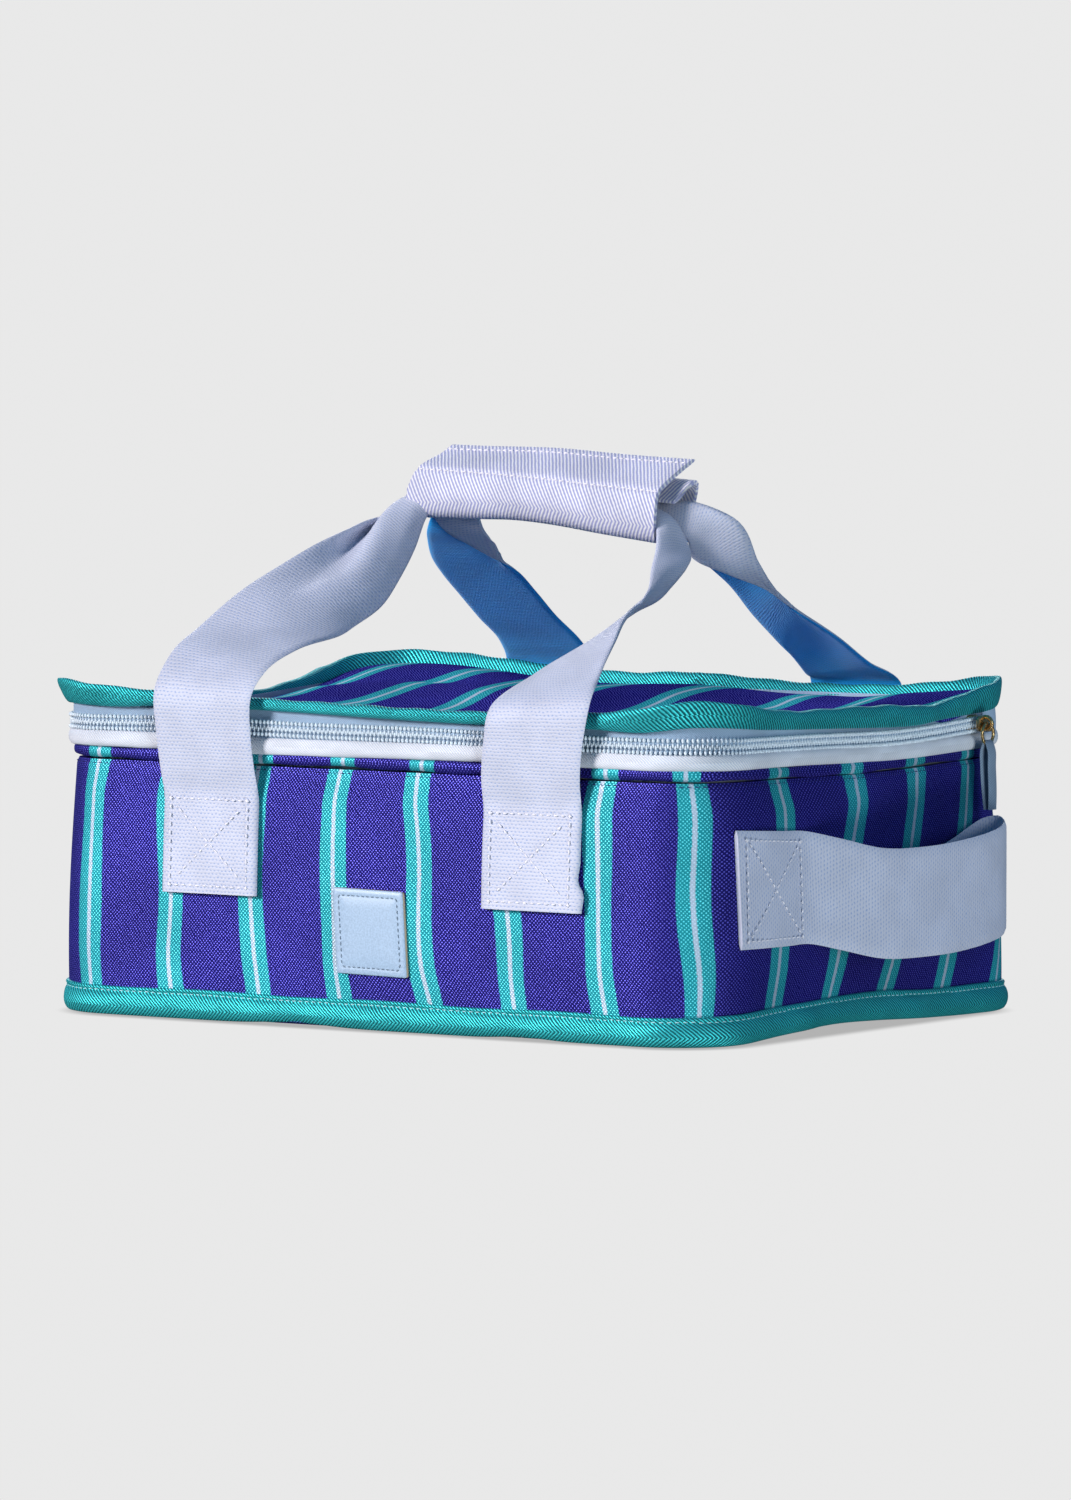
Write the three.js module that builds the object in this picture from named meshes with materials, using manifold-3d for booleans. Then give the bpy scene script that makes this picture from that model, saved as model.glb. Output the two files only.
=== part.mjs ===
// Insulated lunch bag: zipped lid, two webbing handles joined by a grip, side handle.
// Millimetres, +Z up. Origin: centre of the base, on the floor. Front faces -Y.
import * as THREE from 'three';
import { mergeVertices } from 'three/addons/utils/BufferGeometryUtils.js';
import Module from 'manifold-3d';

const wasm = await Module();
wasm.setup();

// Driving dimensions of the walls
const bagWidth = 264;
const bagDepth = 196;
const cornerRadius = 26;
const cornerSteps = 6;
const wallTop = 84.4;
const clothThickness = 1.2;
const foamThickness = 4;
const linerThickness = 0.8;
const seatGap = 0.3;

// Base
const baseBindingHeight = 10;
const bindingThickness = 1.5;

// Zip
const hemHeight = 2.8;
const hemBulge = 1;
const bandHeight = 5.5;
const bandBulge = 2.5;
const tapeThickness = 0.8;
const coilHeight = 2.1;
const coilDepth = 1.7;
const chainGap = 1.4;
const tapeMargin = 0.9;
const zipEndSetback = 1;
const stopLength = 2;

// Lid
const lidBindingHeight = 6.8;
const lidBindingBulge = 2.5;
const lidBindingLap = 3.7;
const bindingEdgeCut = 1.5;
const lidLinerThickness = 0.5;
const lidFoamThickness = 2.2;
const lidFoamPressed = 0.7;
const lidLinerDip = 0.6;
const lidHollow = { y: -22, reachX: 118, reachFront: 68, reachRear: 72, flat: 0.35 };
const lidRings = [1, 0.84, 0.66, 0.46, 0.22];
const lidSideShares = [-0.6, 0, 0.6];

// Webbing
const webWidth = 38;
const webThickness = 1.6;
const tabBottom = 42;
const tabTop = 75;
const tabSpacing = 128;
const frontHandleCentre = 2;
const rearHandleCentre = -1;
const strapStandoff = 0.6;
const strapSteps = 22;

// Grip
const gripLength = 98;
const gripCentre = 5.5;
const gripBottom = 158.5;
const foldedWidth = 18;
const strapGap = 2;
const gripCloth = 1.5;
const gripLap = 0.2;
const fastenerThickness = 1;
const fastenerWidth = 4.6;
const flapOverhang = 1;
const foldLead = 2;

// Side handle
const sideHandleBottom = 30;
const sideHandleReach = 71;
const sideArchHalfSpan = 37;
const sideArchHeight = 19;
const sideArchSteps = 12;

// Patch
const patchSize = 27;
const patchThickness = 1;
const patchCentreX = 3;
const patchCentreZ = 32;
const patchTilt = 0.035;

// Slider and pull
const sliderLength = 9;
const sliderPlate = 1;
const sliderMargin = 0.7;
const bailOpening = 2.6;
const bailWall = 0.9;
const bailWidth = 2.4;
const ringRadius = 3.4;
const ringWire = 0.6;
const pullWidth = 5;
const pullLayer = 1.2;
const pullEnd = 69.5;

// Heights stacked from the floor up
const wallFoot = clothThickness + seatGap;
const hemFoot = wallTop + seatGap;
const bandFoot = hemFoot + hemHeight + seatGap;
const bandTop = bandFoot + bandHeight;
const lowerCoilFoot = bandTop + seatGap;
const lowerCoilTop = lowerCoilFoot + coilHeight;
const chainCentre = lowerCoilTop + chainGap / 2;
const upperCoilFoot = lowerCoilTop + chainGap;
const upperCoilTop = upperCoilFoot + coilHeight;
const upperTapeTop = upperCoilTop + tapeMargin;
const lidFoot = upperTapeTop + seatGap;
const lidTop = lidFoot + lidBindingHeight;
const foamInset = clothThickness + seatGap;
const linerInset = foamInset + foamThickness + seatGap;

// Ends of the zip along the two short sides
const zipEnd = bagDepth / 2 - cornerRadius - zipEndSetback;
const coilEnd = zipEnd - stopLength - seatGap;
const sliderY = coilEnd - sliderLength / 2;

const bag = new THREE.Group();

// Materials by finish
const finishes = {
  wallCloth: { color: 0x4a3a96, roughness: 0.85, metalness: 0 },
  binding: { color: 0x18a59c, roughness: 0.8, metalness: 0 },
  webbing: { color: 0xb9cdec, roughness: 0.75, metalness: 0 },
  gripCloth: { color: 0xc9cdee, roughness: 0.8, metalness: 0 },
  zipTape: { color: 0xdfe3f4, roughness: 0.8, metalness: 0 },
  zipCoil: { color: 0xb8d2f0, roughness: 0.5, metalness: 0 },
  patch: { color: 0xafcdec, roughness: 0.6, metalness: 0 },
  fastener: { color: 0xa8b0d0, roughness: 0.95, metalness: 0 },
  foam: { color: 0xe6e6e2, roughness: 0.95, metalness: 0 },
  liner: { color: 0xc8ccd2, roughness: 0.35, metalness: 0.3 },
  brass: { color: 0xc89b4a, roughness: 0.3, metalness: 1 },
};

function addPiece(name, geometry, finish) {
  const piece = new THREE.Mesh(geometry, new THREE.MeshStandardMaterial(finishes[finish]));
  piece.name = name;
  bag.add(piece);
  return piece;
}

// A BufferGeometry from points and triangles, turned so that its faces point out.
function solidFrom(points, triangles) {
  let volume = 0;
  for (const [a, b, c] of triangles) {
    volume += points[a].dot(new THREE.Vector3().crossVectors(points[b], points[c]));
  }
  const order = volume < 0 ? triangles.map(([a, b, c]) => [a, c, b]) : triangles;
  const geometry = new THREE.BufferGeometry();
  geometry.setAttribute('position', new THREE.Float32BufferAttribute(points.flatMap((p) => p.toArray()), 3));
  geometry.setIndex(order.flat());
  geometry.computeVertexNormals();
  return geometry;
}

// Joins equal rings of points into one body: a closed band, or an open run with end caps.
function loft(rings, closed) {
  const count = rings[0].length;
  const triangles = [];
  const runs = closed ? rings.length : rings.length - 1;
  for (let i = 0; i < runs; i += 1) {
    const here = i * count;
    const next = ((i + 1) % rings.length) * count;
    for (let j = 0; j < count; j += 1) {
      const k = (j + 1) % count;
      triangles.push([here + j, next + j, next + k], [here + j, next + k, here + k]);
    }
  }
  if (!closed) {
    const last = (rings.length - 1) * count;
    for (let j = 1; j < count - 1; j += 1) {
      triangles.push([0, j, j + 1], [last, last + j + 1, last + j]);
    }
  }
  return solidFrom(rings.flat(), triangles);
}

// Stations round the wall's outline, each a place and the direction that faces out.
function cornerStations(signX, signY, startAngle) {
  const stations = [];
  for (let i = 0; i <= cornerSteps; i += 1) {
    const angle = startAngle + (i / cornerSteps) * (Math.PI / 2);
    const out = new THREE.Vector2(Math.cos(angle), Math.sin(angle));
    const centre = new THREE.Vector2(
      signX * (bagWidth / 2 - cornerRadius),
      signY * (bagDepth / 2 - cornerRadius),
    );
    stations.push({ place: centre.addScaledVector(out, cornerRadius), out });
  }
  return stations;
}

function sideStation(signX, y) {
  return { place: new THREE.Vector2(signX * bagWidth / 2, y), out: new THREE.Vector2(signX, 0) };
}

const frontRight = cornerStations(1, -1, -Math.PI / 2);
const rearRight = cornerStations(1, 1, 0);
const rearLeft = cornerStations(-1, 1, Math.PI / 2);
const frontLeft = cornerStations(-1, -1, Math.PI);
const wholeOutline = [...frontRight, ...rearRight, ...rearLeft, ...frontLeft];

function frontRun(endY) {
  return [sideStation(-1, endY), ...frontLeft, ...frontRight, sideStation(1, endY)];
}

function rearRun(endY) {
  return [sideStation(1, endY), ...rearRight, ...rearLeft, sideStation(-1, endY)];
}

// Sweeps a section of [outward offset, height] points along the outline.
function sweep(stations, section, closed) {
  const rings = stations.map(({ place, out }) => section.map(([offset, z]) => {
    const at = place.clone().addScaledVector(out, offset);
    return new THREE.Vector3(at.x, at.y, z);
  }));
  return loft(rings, closed);
}

function bar(outer, inner, low, high) {
  return [[inner, low], [outer, low], [outer, high], [inner, high]];
}

function roundBar(outer, inner, low, high, cut) {
  return [
    [inner, low],
    [outer - cut, low],
    [outer, low + cut],
    [outer, high - cut],
    [outer - cut, high],
    [inner, high],
  ];
}

function plate(inset, low, high) {
  const outline = wholeOutline.map(({ place, out }) => place.clone().addScaledVector(out, -inset));
  const depth = high - low;
  const geometry = new THREE.ExtrudeGeometry(new THREE.Shape(outline), { depth, bevelEnabled: false });
  return geometry.translate(0, 0, low);
}

// Every other corner station, with a few places along each straight side in between.
function lidOutline(inset) {
  const corners = [frontRight, rearRight, rearLeft, frontLeft].map((stations) => {
    const kept = stations.filter((station, i) => i % 2 === 0);
    return kept.map(({ place, out }) => place.clone().addScaledVector(out, -inset));
  });
  return corners.flatMap((points, i) => {
    const from = points[points.length - 1];
    const to = corners[(i + 1) % corners.length][0];
    const between = lidSideShares.map((share) => from.clone().lerp(to, (1 + share) / 2));
    return [...points, ...between];
  });
}

// Share of the lid's sag at a place: 1 in the hollow's middle, 0 from its rim outwards.
function sagShare(place) {
  const reachY = place.y < lidHollow.y ? lidHollow.reachFront : lidHollow.reachRear;
  const reach = Math.hypot(place.x / lidHollow.reachX, (place.y - lidHollow.y) / reachY);
  return 1 - THREE.MathUtils.smoothstep(reach, lidHollow.flat, 1);
}

// A plate whose underside and top hang lower in the hollow of the lid.
function saggingPlate(inset, low, high, lowDip, highDip) {
  const outline = lidOutline(inset);
  const count = outline.length;
  const middle = new THREE.Vector2(0, lidHollow.y);
  const sheet = (z, dip) => lidRings.flatMap((share) => outline.map((point) => {
    const place = middle.clone().lerp(point, share);
    return new THREE.Vector3(place.x, place.y, z - dip * sagShare(place));
  }));
  const over = [];
  const innermost = (lidRings.length - 1) * count;
  for (let here = 0; here < innermost; here += count) {
    const next = here + count;
    for (let j = 0; j < count; j += 1) {
      const k = (j + 1) % count;
      over.push([here + j, here + k, next + k], [here + j, next + k, next + j]);
    }
  }
  for (let j = innermost + 1; j < innermost + count - 1; j += 1) {
    over.push([innermost, j, j + 1]);
  }
  const below = lidRings.length * count;
  const under = over.map(([a, b, c]) => [below + a, below + c, below + b]);
  const rim = outline.flatMap((point, j) => {
    const k = (j + 1) % count;
    return [[j, below + j, below + k], [j, below + k, k]];
  });
  return solidFrom([...sheet(high, highDip), ...sheet(low, lowDip)], [...over, ...under, ...rim]);
}

// Extrudes a section along X, from [y, z] points, or along Y, from [z, x] points.
function extrudeAlong(axis, section, from, to) {
  const shape = new THREE.Shape(section.map(([u, v]) => new THREE.Vector2(u, v)));
  const geometry = new THREE.ExtrudeGeometry(shape, { depth: to - from, bevelEnabled: false });
  geometry.translate(0, 0, from);
  const x = new THREE.Vector3(1, 0, 0);
  const y = new THREE.Vector3(0, 1, 0);
  const z = new THREE.Vector3(0, 0, 1);
  const basis = new THREE.Matrix4();
  if (axis === 'x') {
    basis.makeBasis(y, z, x);
  } else {
    basis.makeBasis(z, x, y);
  }
  return geometry.applyMatrix4(basis);
}

function blockBetween(low, high) {
  const size = high.clone().sub(low);
  const centre = low.clone().add(high).multiplyScalar(0.5);
  return new THREE.BoxGeometry(size.x, size.y, size.z).translate(centre.x, centre.y, centre.z);
}

// Booleans on closed meshes
function toManifold(geometry) {
  const bare = geometry.clone();
  bare.deleteAttribute('normal');
  bare.deleteAttribute('uv');
  const merged = mergeVertices(bare, 1e-4);
  return new wasm.Manifold(new wasm.Mesh({
    numProp: 3,
    vertProperties: new Float32Array(merged.attributes.position.array),
    triVerts: new Uint32Array(merged.index.array),
  }));
}

function fromManifold(solid) {
  const mesh = solid.getMesh();
  const geometry = new THREE.BufferGeometry();
  geometry.setAttribute('position', new THREE.BufferAttribute(new Float32Array(mesh.vertProperties), 3));
  geometry.setIndex(Array.from(mesh.triVerts));
  geometry.computeVertexNormals();
  return geometry;
}

// Flat webbing between two edge lines, with its thickness set at each step.
function ribbon(firstEdge, secondEdge, thicknesses) {
  const middle = firstEdge.map((p, i) => p.clone().add(secondEdge[i]).multiplyScalar(0.5));
  const rings = firstEdge.map((p, i) => {
    const ahead = middle[Math.min(i + 1, middle.length - 1)];
    const behind = middle[Math.max(i - 1, 0)];
    const along = ahead.clone().sub(behind);
    const across = secondEdge[i].clone().sub(p);
    const face = along.cross(across).normalize().multiplyScalar(thicknesses[i] / 2);
    return [
      p.clone().add(face),
      secondEdge[i].clone().add(face),
      secondEdge[i].clone().sub(face),
      p.clone().sub(face),
    ];
  });
  return loft(rings, false);
}

// Base and walls
addPiece('base_panel', plate(0, 0, clothThickness), 'wallCloth');
addPiece('base_binding', sweep(
  wholeOutline,
  roundBar(seatGap + bindingThickness, seatGap, 0, baseBindingHeight, bindingThickness / 2),
  true,
), 'binding');
addPiece('outer_wall', sweep(wholeOutline, bar(0, -clothThickness, wallFoot, wallTop), true), 'wallCloth');
addPiece('wall_foam', sweep(
  wholeOutline,
  bar(-foamInset, -foamInset - foamThickness, wallFoot, wallTop),
  true,
), 'foam');
const baseFoamTop = wallFoot + foamThickness;
addPiece('base_foam', plate(linerInset, wallFoot, baseFoamTop), 'foam');

// Liner tub, open at the top
const linerFoot = baseFoamTop + seatGap;
const linerCavityFoot = linerFoot + linerThickness;
const linerBlock = toManifold(plate(linerInset, linerFoot, bandTop));
const linerHollow = toManifold(plate(linerInset + linerThickness, linerCavityFoot, bandTop + foamThickness));
addPiece('liner_tub', fromManifold(linerBlock.subtract(linerHollow)), 'liner');

// Hem, pale band, zip tape and coil of the bag half
addPiece('wall_hem', sweep(
  wholeOutline,
  roundBar(hemBulge, -foamInset - foamThickness, hemFoot, hemFoot + hemHeight, hemBulge),
  true,
), 'wallCloth');
addPiece('lower_zip_band', sweep(
  wholeOutline,
  roundBar(bandBulge, seatGap, bandFoot, bandTop, bandBulge / 2),
  true,
), 'zipTape');
addPiece('lower_zip_tape', sweep(
  frontRun(zipEnd),
  bar(0, -tapeThickness, bandFoot, lowerCoilTop),
  false,
), 'zipTape');
addPiece('lower_zip_coil', sweep(
  frontRun(coilEnd),
  bar(seatGap + coilDepth, seatGap, lowerCoilFoot, lowerCoilTop),
  false,
), 'zipCoil');
addPiece('rear_hinge_strip', sweep(
  rearRun(zipEnd + 2 * seatGap),
  bar(0, -tapeThickness, bandFoot, upperTapeTop),
  false,
), 'zipTape');
for (const [side, signX] of [['left', -1], ['right', 1]]) {
  const inner = signX * (bagWidth / 2 + seatGap);
  const outer = signX * (bagWidth / 2 + seatGap + coilDepth);
  addPiece(`zip_stop_${side}`, blockBetween(
    new THREE.Vector3(Math.min(inner, outer), zipEnd - stopLength, lowerCoilFoot),
    new THREE.Vector3(Math.max(inner, outer), zipEnd, lowerCoilTop),
  ), 'brass');
}

// Lid
addPiece('upper_zip_tape', sweep(
  frontRun(zipEnd),
  bar(0, -tapeThickness, upperCoilFoot, upperTapeTop),
  false,
), 'zipTape');
addPiece('upper_zip_coil', sweep(
  frontRun(coilEnd),
  bar(seatGap + coilDepth, seatGap, upperCoilFoot, upperCoilTop),
  false,
), 'zipCoil');
addPiece('lid_binding', sweep(
  wholeOutline,
  roundBar(lidBindingBulge, -lidBindingLap, lidFoot, lidTop, bindingEdgeCut),
  true,
), 'binding');
const lidInset = lidBindingLap + seatGap;
const lidFoamFoot = lidFoot + lidLinerThickness + seatGap;
const lidPanelFoot = lidFoamFoot + lidFoamThickness + seatGap;
const lidPanelDip = lidLinerDip + lidFoamThickness - lidFoamPressed;
addPiece('lid_liner', saggingPlate(
  lidInset,
  lidFoot,
  lidFoot + lidLinerThickness,
  lidLinerDip,
  lidLinerDip,
), 'liner');
addPiece('lid_foam', saggingPlate(
  lidInset,
  lidFoamFoot,
  lidFoamFoot + lidFoamThickness,
  lidLinerDip,
  lidPanelDip,
), 'foam');
addPiece('lid_panel', saggingPlate(
  lidInset,
  lidPanelFoot,
  lidPanelFoot + clothThickness,
  lidPanelDip,
  lidPanelDip,
), 'wallCloth');

// Sewn ends of the two handles
const wallStandoff = bagDepth / 2 + seatGap;
for (const [end, signY, centreX] of [['front', -1, frontHandleCentre], ['rear', 1, rearHandleCentre]]) {
  for (const [side, signX] of [['left', -1], ['right', 1]]) {
    const tabX = centreX + signX * tabSpacing / 2;
    const near = signY * wallStandoff;
    const far = signY * (wallStandoff + webThickness);
    addPiece(`${end}_${side}_tab`, blockBetween(
      new THREE.Vector3(tabX - webWidth / 2, Math.min(near, far), tabBottom),
      new THREE.Vector3(tabX + webWidth / 2, Math.max(near, far), tabTop),
    ), 'webbing');
  }
}

// Handle webbing: flat on the wall, over the lid's edge, then turned upright and folded in the grip.
// Each crossing step gives both edges: share of the reach, how far it moves inwards, share of the rise.
const crossings = {
  frontLeft: [
    { inner: [0.07, 0, 0.14], outer: [0.08, 2, 0.2] },
    { inner: [0.25, -1, 0.23], outer: [0.26, 4, 0.39] },
    { inner: [0.5, 2.5, 0.34], outer: [0.48, 10, 0.54] },
    { inner: [0.68, 2, 0.49], outer: [0.65, 16, 0.63] },
    { inner: [0.85, -1, 0.75], outer: [0.83, 23, 0.77] },
  ],
  frontRight: [
    { inner: [0.27, -8, 0.21], outer: [0.09, -3, 0.14] },
    { inner: [0.49, -9, 0.39], outer: [0.25, 1, 0.27] },
    { inner: [0.67, -8, 0.55], outer: [0.41, 7, 0.37] },
    { inner: [0.85, -10, 0.75], outer: [0.73, 20, 0.55] },
  ],
  rearLeft: [
    { inner: [0.19, 0, 0.27], outer: [0.11, 1, 0.2] },
    { inner: [0.37, 3, 0.46], outer: [0.29, 5, 0.33] },
    { inner: [0.54, 8, 0.62], outer: [0.48, 10, 0.44] },
    { inner: [0.71, 12, 0.77], outer: [0.67, 18, 0.57] },
    { inner: [0.86, 10, 0.86], outer: [0.84, 25, 0.69] },
  ],
  rearRight: [
    { inner: [0.13, 4, 0.19], outer: [0.23, 5, 0.14] },
    { inner: [0.34, 4, 0.43], outer: [0.56, 12, 0.38] },
    { inner: [0.5, 0, 0.6], outer: [0.71, 9, 0.5] },
    { inner: [0.68, -3, 0.77], outer: [0.86, 8, 0.63] },
  ],
};
const leadIn = { reach: 0.95, rise: 0.93, outset: 5 };
const foldedThickness = 2 * webThickness;
const gripTop = gripBottom + foldedWidth;
const strapFoot = tabTop + seatGap;
const strapY = wallStandoff + webThickness / 2;
const lidEdgeY = bagDepth / 2 + lidBindingBulge + strapStandoff + webThickness / 2;
const lidEdgeZ = lidTop + webThickness;
const gripStrapY = strapGap / 2 + foldedThickness / 2;

function halfStrap(signX, signY, centreX, crossing) {
  const tabX = centreX + signX * tabSpacing / 2;
  const innerX = tabX - signX * webWidth / 2;
  const outerX = tabX + signX * webWidth / 2;
  const inner = [];
  const outer = [];
  const thick = [];
  function step(innerPlace, outerPlace, thickness) {
    inner.push(new THREE.Vector3(...innerPlace));
    outer.push(new THREE.Vector3(...outerPlace));
    thick.push(thickness);
  }
  for (const [y, z] of [[strapY, strapFoot], [lidEdgeY, bandTop], [lidEdgeY, lidEdgeZ]]) {
    step([innerX, signY * y, z], [outerX, signY * y, z], webThickness);
  }
  function crossingPlace([reach, shift, rise], startX, gripZ) {
    return [
      startX - signX * shift,
      signY * THREE.MathUtils.lerp(lidEdgeY, gripStrapY, reach),
      THREE.MathUtils.lerp(lidEdgeZ, gripZ, rise),
    ];
  }
  for (const row of crossing) {
    step(
      crossingPlace(row.inner, innerX, gripBottom),
      crossingPlace(row.outer, outerX, gripTop),
      webThickness,
    );
  }
  const gripEndX = gripCentre + signX * (gripLength / 2 + foldLead);
  const leadX = gripEndX + signX * leadIn.outset;
  const leadY = signY * THREE.MathUtils.lerp(lidEdgeY, gripStrapY, leadIn.reach);
  step(
    [leadX, leadY, THREE.MathUtils.lerp(lidEdgeZ, gripBottom, leadIn.rise)],
    [leadX, leadY, THREE.MathUtils.lerp(lidEdgeZ, gripTop, leadIn.rise)],
    webThickness,
  );
  step([gripEndX, signY * gripStrapY, gripBottom], [gripEndX, signY * gripStrapY, gripTop], foldedThickness);
  return { inner, outer, thick };
}

function sampleEdge(points) {
  const curve = new THREE.CatmullRomCurve3(points);
  return Array.from({ length: strapSteps + 1 }, (unused, i) => curve.getPoint(i / strapSteps));
}

function sampleThickness(values) {
  return Array.from({ length: strapSteps + 1 }, (unused, i) => {
    const at = (i / strapSteps) * (values.length - 1);
    const low = Math.min(Math.floor(at), values.length - 2);
    return THREE.MathUtils.lerp(values[low], values[low + 1], at - low);
  });
}

function handleStrap(signY, centreX, leftCrossing, rightCrossing) {
  const left = halfStrap(-1, signY, centreX, leftCrossing);
  const right = halfStrap(1, signY, centreX, rightCrossing);
  return ribbon(
    [...sampleEdge(left.outer), ...sampleEdge(right.outer).reverse()],
    [...sampleEdge(left.inner), ...sampleEdge(right.inner).reverse()],
    [...sampleThickness(left.thick), ...sampleThickness(right.thick).reverse()],
  );
}

addPiece(
  'front_strap',
  handleStrap(-1, frontHandleCentre, crossings.frontLeft, crossings.frontRight),
  'webbing',
);
addPiece(
  'rear_strap',
  handleStrap(1, rearHandleCentre, crossings.rearLeft, crossings.rearRight),
  'webbing',
);

// Grip: a cloth half round each strap, and a flap that fastens the front half over the rear one.
const gripFrom = gripCentre - gripLength / 2;
const gripTo = gripCentre + gripLength / 2;
const gripFace = strapGap / 2 + foldedThickness + seatGap;
const gripOuter = gripFace + gripCloth;
const gripFloor = gripBottom - seatGap;
const gripRoof = gripTop + seatGap;
const gripClothTop = gripRoof + gripCloth;
const frontSection = [
  [-gripOuter, gripFloor - gripCloth],
  [-gripLap, gripFloor - gripCloth],
  [-gripLap, gripFloor],
  [-gripFace, gripFloor],
  [-gripFace, gripClothTop],
  [-gripOuter, gripClothTop],
];
const rearSection = [
  [gripLap, gripFloor - gripCloth],
  [gripOuter, gripFloor - gripCloth],
  [gripOuter, gripClothTop],
  [gripLap, gripClothTop],
  [gripLap, gripRoof],
  [gripFace, gripRoof],
  [gripFace, gripFloor],
  [gripLap, gripFloor],
];
addPiece('grip_front', extrudeAlong('x', frontSection, gripFrom, gripTo), 'gripCloth');
addPiece('grip_rear', extrudeAlong('x', rearSection, gripFrom, gripTo), 'gripCloth');

const loopFoot = gripClothTop + seatGap;
const hookFoot = loopFoot + fastenerThickness + seatGap;
const flapFoot = hookFoot + fastenerThickness + seatGap;
const flapSection = [
  [-gripOuter, gripClothTop + seatGap],
  [-gripFace, gripClothTop + seatGap],
  [-gripLap, flapFoot],
  [gripOuter + flapOverhang, flapFoot],
  [gripOuter + flapOverhang, flapFoot + gripCloth],
  [-gripLap - gripCloth / 2, flapFoot + gripCloth],
];
addPiece('grip_flap', extrudeAlong('x', flapSection, gripFrom, gripTo), 'gripCloth');
const fastenerMargin = gripOuter - fastenerWidth;
for (const [name, foot] of [['loop_tape', loopFoot], ['hook_tape', hookFoot]]) {
  addPiece(name, blockBetween(
    new THREE.Vector3(gripFrom + fastenerMargin, gripOuter - fastenerWidth, foot),
    new THREE.Vector3(gripTo - fastenerMargin, gripOuter, foot + fastenerThickness),
  ), 'fastener');
}

// Side handle: webbing sewn flat at both ends, arched between them
const sideEdgeX = bagWidth / 2 + seatGap + webThickness / 2;
const sideLow = [];
const sideHigh = [];
for (let i = -sideArchSteps / 2 - 1; i <= sideArchSteps / 2 + 1; i += 1) {
  const share = THREE.MathUtils.clamp((2 * i) / sideArchSteps, -1, 1);
  const atEnd = Math.abs(i) > sideArchSteps / 2;
  const y = atEnd ? Math.sign(i) * sideHandleReach : share * sideArchHalfSpan;
  const x = sideEdgeX + sideArchHeight * Math.cos(share * Math.PI / 2) ** 2;
  sideLow.push(new THREE.Vector3(x, y, sideHandleBottom));
  sideHigh.push(new THREE.Vector3(x, y, sideHandleBottom + webWidth));
}
addPiece('side_handle', ribbon(sideHigh, sideLow, sideLow.map(() => webThickness)), 'webbing');

// Bare stitched patch on the front
const patch = addPiece('label_patch', new THREE.BoxGeometry(patchSize, patchThickness, patchSize), 'patch');
patch.position.set(patchCentreX, -wallStandoff - patchThickness / 2, patchCentreZ);
patch.rotation.y = patchTilt;

// Zip slider: two plates joined by a thin post that runs in the gap between the coils, and a bail
const plateInner = bagWidth / 2 + seatGap + coilDepth + seatGap;
const plateOuter = plateInner + sliderPlate;
const backOuter = bagWidth / 2 - tapeThickness - seatGap;
const backInner = backOuter - sliderPlate;
const postHalf = chainGap / 2 - seatGap;
const plateLow = lowerCoilFoot + sliderMargin;
const plateHigh = upperCoilTop - sliderMargin;
const sliderSection = [
  [plateLow, backInner],
  [plateHigh, backInner],
  [plateHigh, backOuter],
  [chainCentre + postHalf, backOuter],
  [chainCentre + postHalf, plateInner],
  [plateHigh, plateInner],
  [plateHigh, plateOuter],
  [plateLow, plateOuter],
  [plateLow, plateInner],
  [chainCentre - postHalf, plateInner],
  [chainCentre - postHalf, backOuter],
  [plateLow, backOuter],
].reverse();
const bailLow = chainCentre - bailOpening / 2;
const bailHigh = chainCentre + bailOpening / 2;
const bailSection = [
  [bailLow - bailWall, plateOuter - sliderPlate / 2],
  [bailLow, plateOuter - sliderPlate / 2],
  [bailLow, plateOuter + bailOpening],
  [bailHigh, plateOuter + bailOpening],
  [bailHigh, plateOuter - sliderPlate / 2],
  [bailHigh + bailWall, plateOuter - sliderPlate / 2],
  [bailHigh + bailWall, plateOuter + bailOpening + bailWall],
  [bailLow - bailWall, plateOuter + bailOpening + bailWall],
];
const sliderPlates = toManifold(extrudeAlong(
  'y',
  sliderSection,
  sliderY - sliderLength / 2,
  sliderY + sliderLength / 2,
));
const bail = toManifold(extrudeAlong('y', bailSection, sliderY - bailWidth / 2, sliderY + bailWidth / 2));
addPiece('zip_slider', fromManifold(sliderPlates.add(bail)), 'brass');

// Pull: a ring through the bail and a folded strap on the ring
const pullX = plateOuter + bailOpening / 2;
const ringCentreZ = chainCentre - ringRadius;
const ring = addPiece('pull_ring', new THREE.TorusGeometry(ringRadius, ringWire, 6, 20), 'brass');
ring.rotation.y = Math.PI / 2;
ring.position.set(pullX, sliderY, ringCentreZ);

const wireRise = ringRadius - Math.sqrt(ringRadius ** 2 - (pullWidth / 2) ** 2);
const eyeLow = ringCentreZ - ringRadius - ringWire - seatGap;
const eyeHigh = ringCentreZ - ringRadius + wireRise + ringWire + seatGap;
const eyeHalf = ringWire + seatGap;
const pullShape = new THREE.Shape([
  [pullEnd, -pullLayer],
  [pullEnd, pullLayer],
  [eyeLow - pullLayer, pullLayer],
  [eyeLow, eyeHalf + pullLayer],
  [eyeHigh, eyeHalf + pullLayer],
  [eyeHigh + pullLayer, pullLayer],
  [eyeHigh + pullLayer, -pullLayer],
  [eyeHigh, -eyeHalf - pullLayer],
  [eyeLow, -eyeHalf - pullLayer],
  [eyeLow - pullLayer, -pullLayer],
].map(([z, x]) => new THREE.Vector2(z, x + pullX)).reverse());
pullShape.holes.push(new THREE.Path([
  [eyeLow, -eyeHalf],
  [eyeHigh, -eyeHalf],
  [eyeHigh, eyeHalf],
  [eyeLow, eyeHalf],
].map(([z, x]) => new THREE.Vector2(z, x + pullX))));
const pullGeometry = new THREE.ExtrudeGeometry(pullShape, { depth: pullWidth, bevelEnabled: false });
pullGeometry.translate(0, 0, sliderY - pullWidth / 2);
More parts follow.
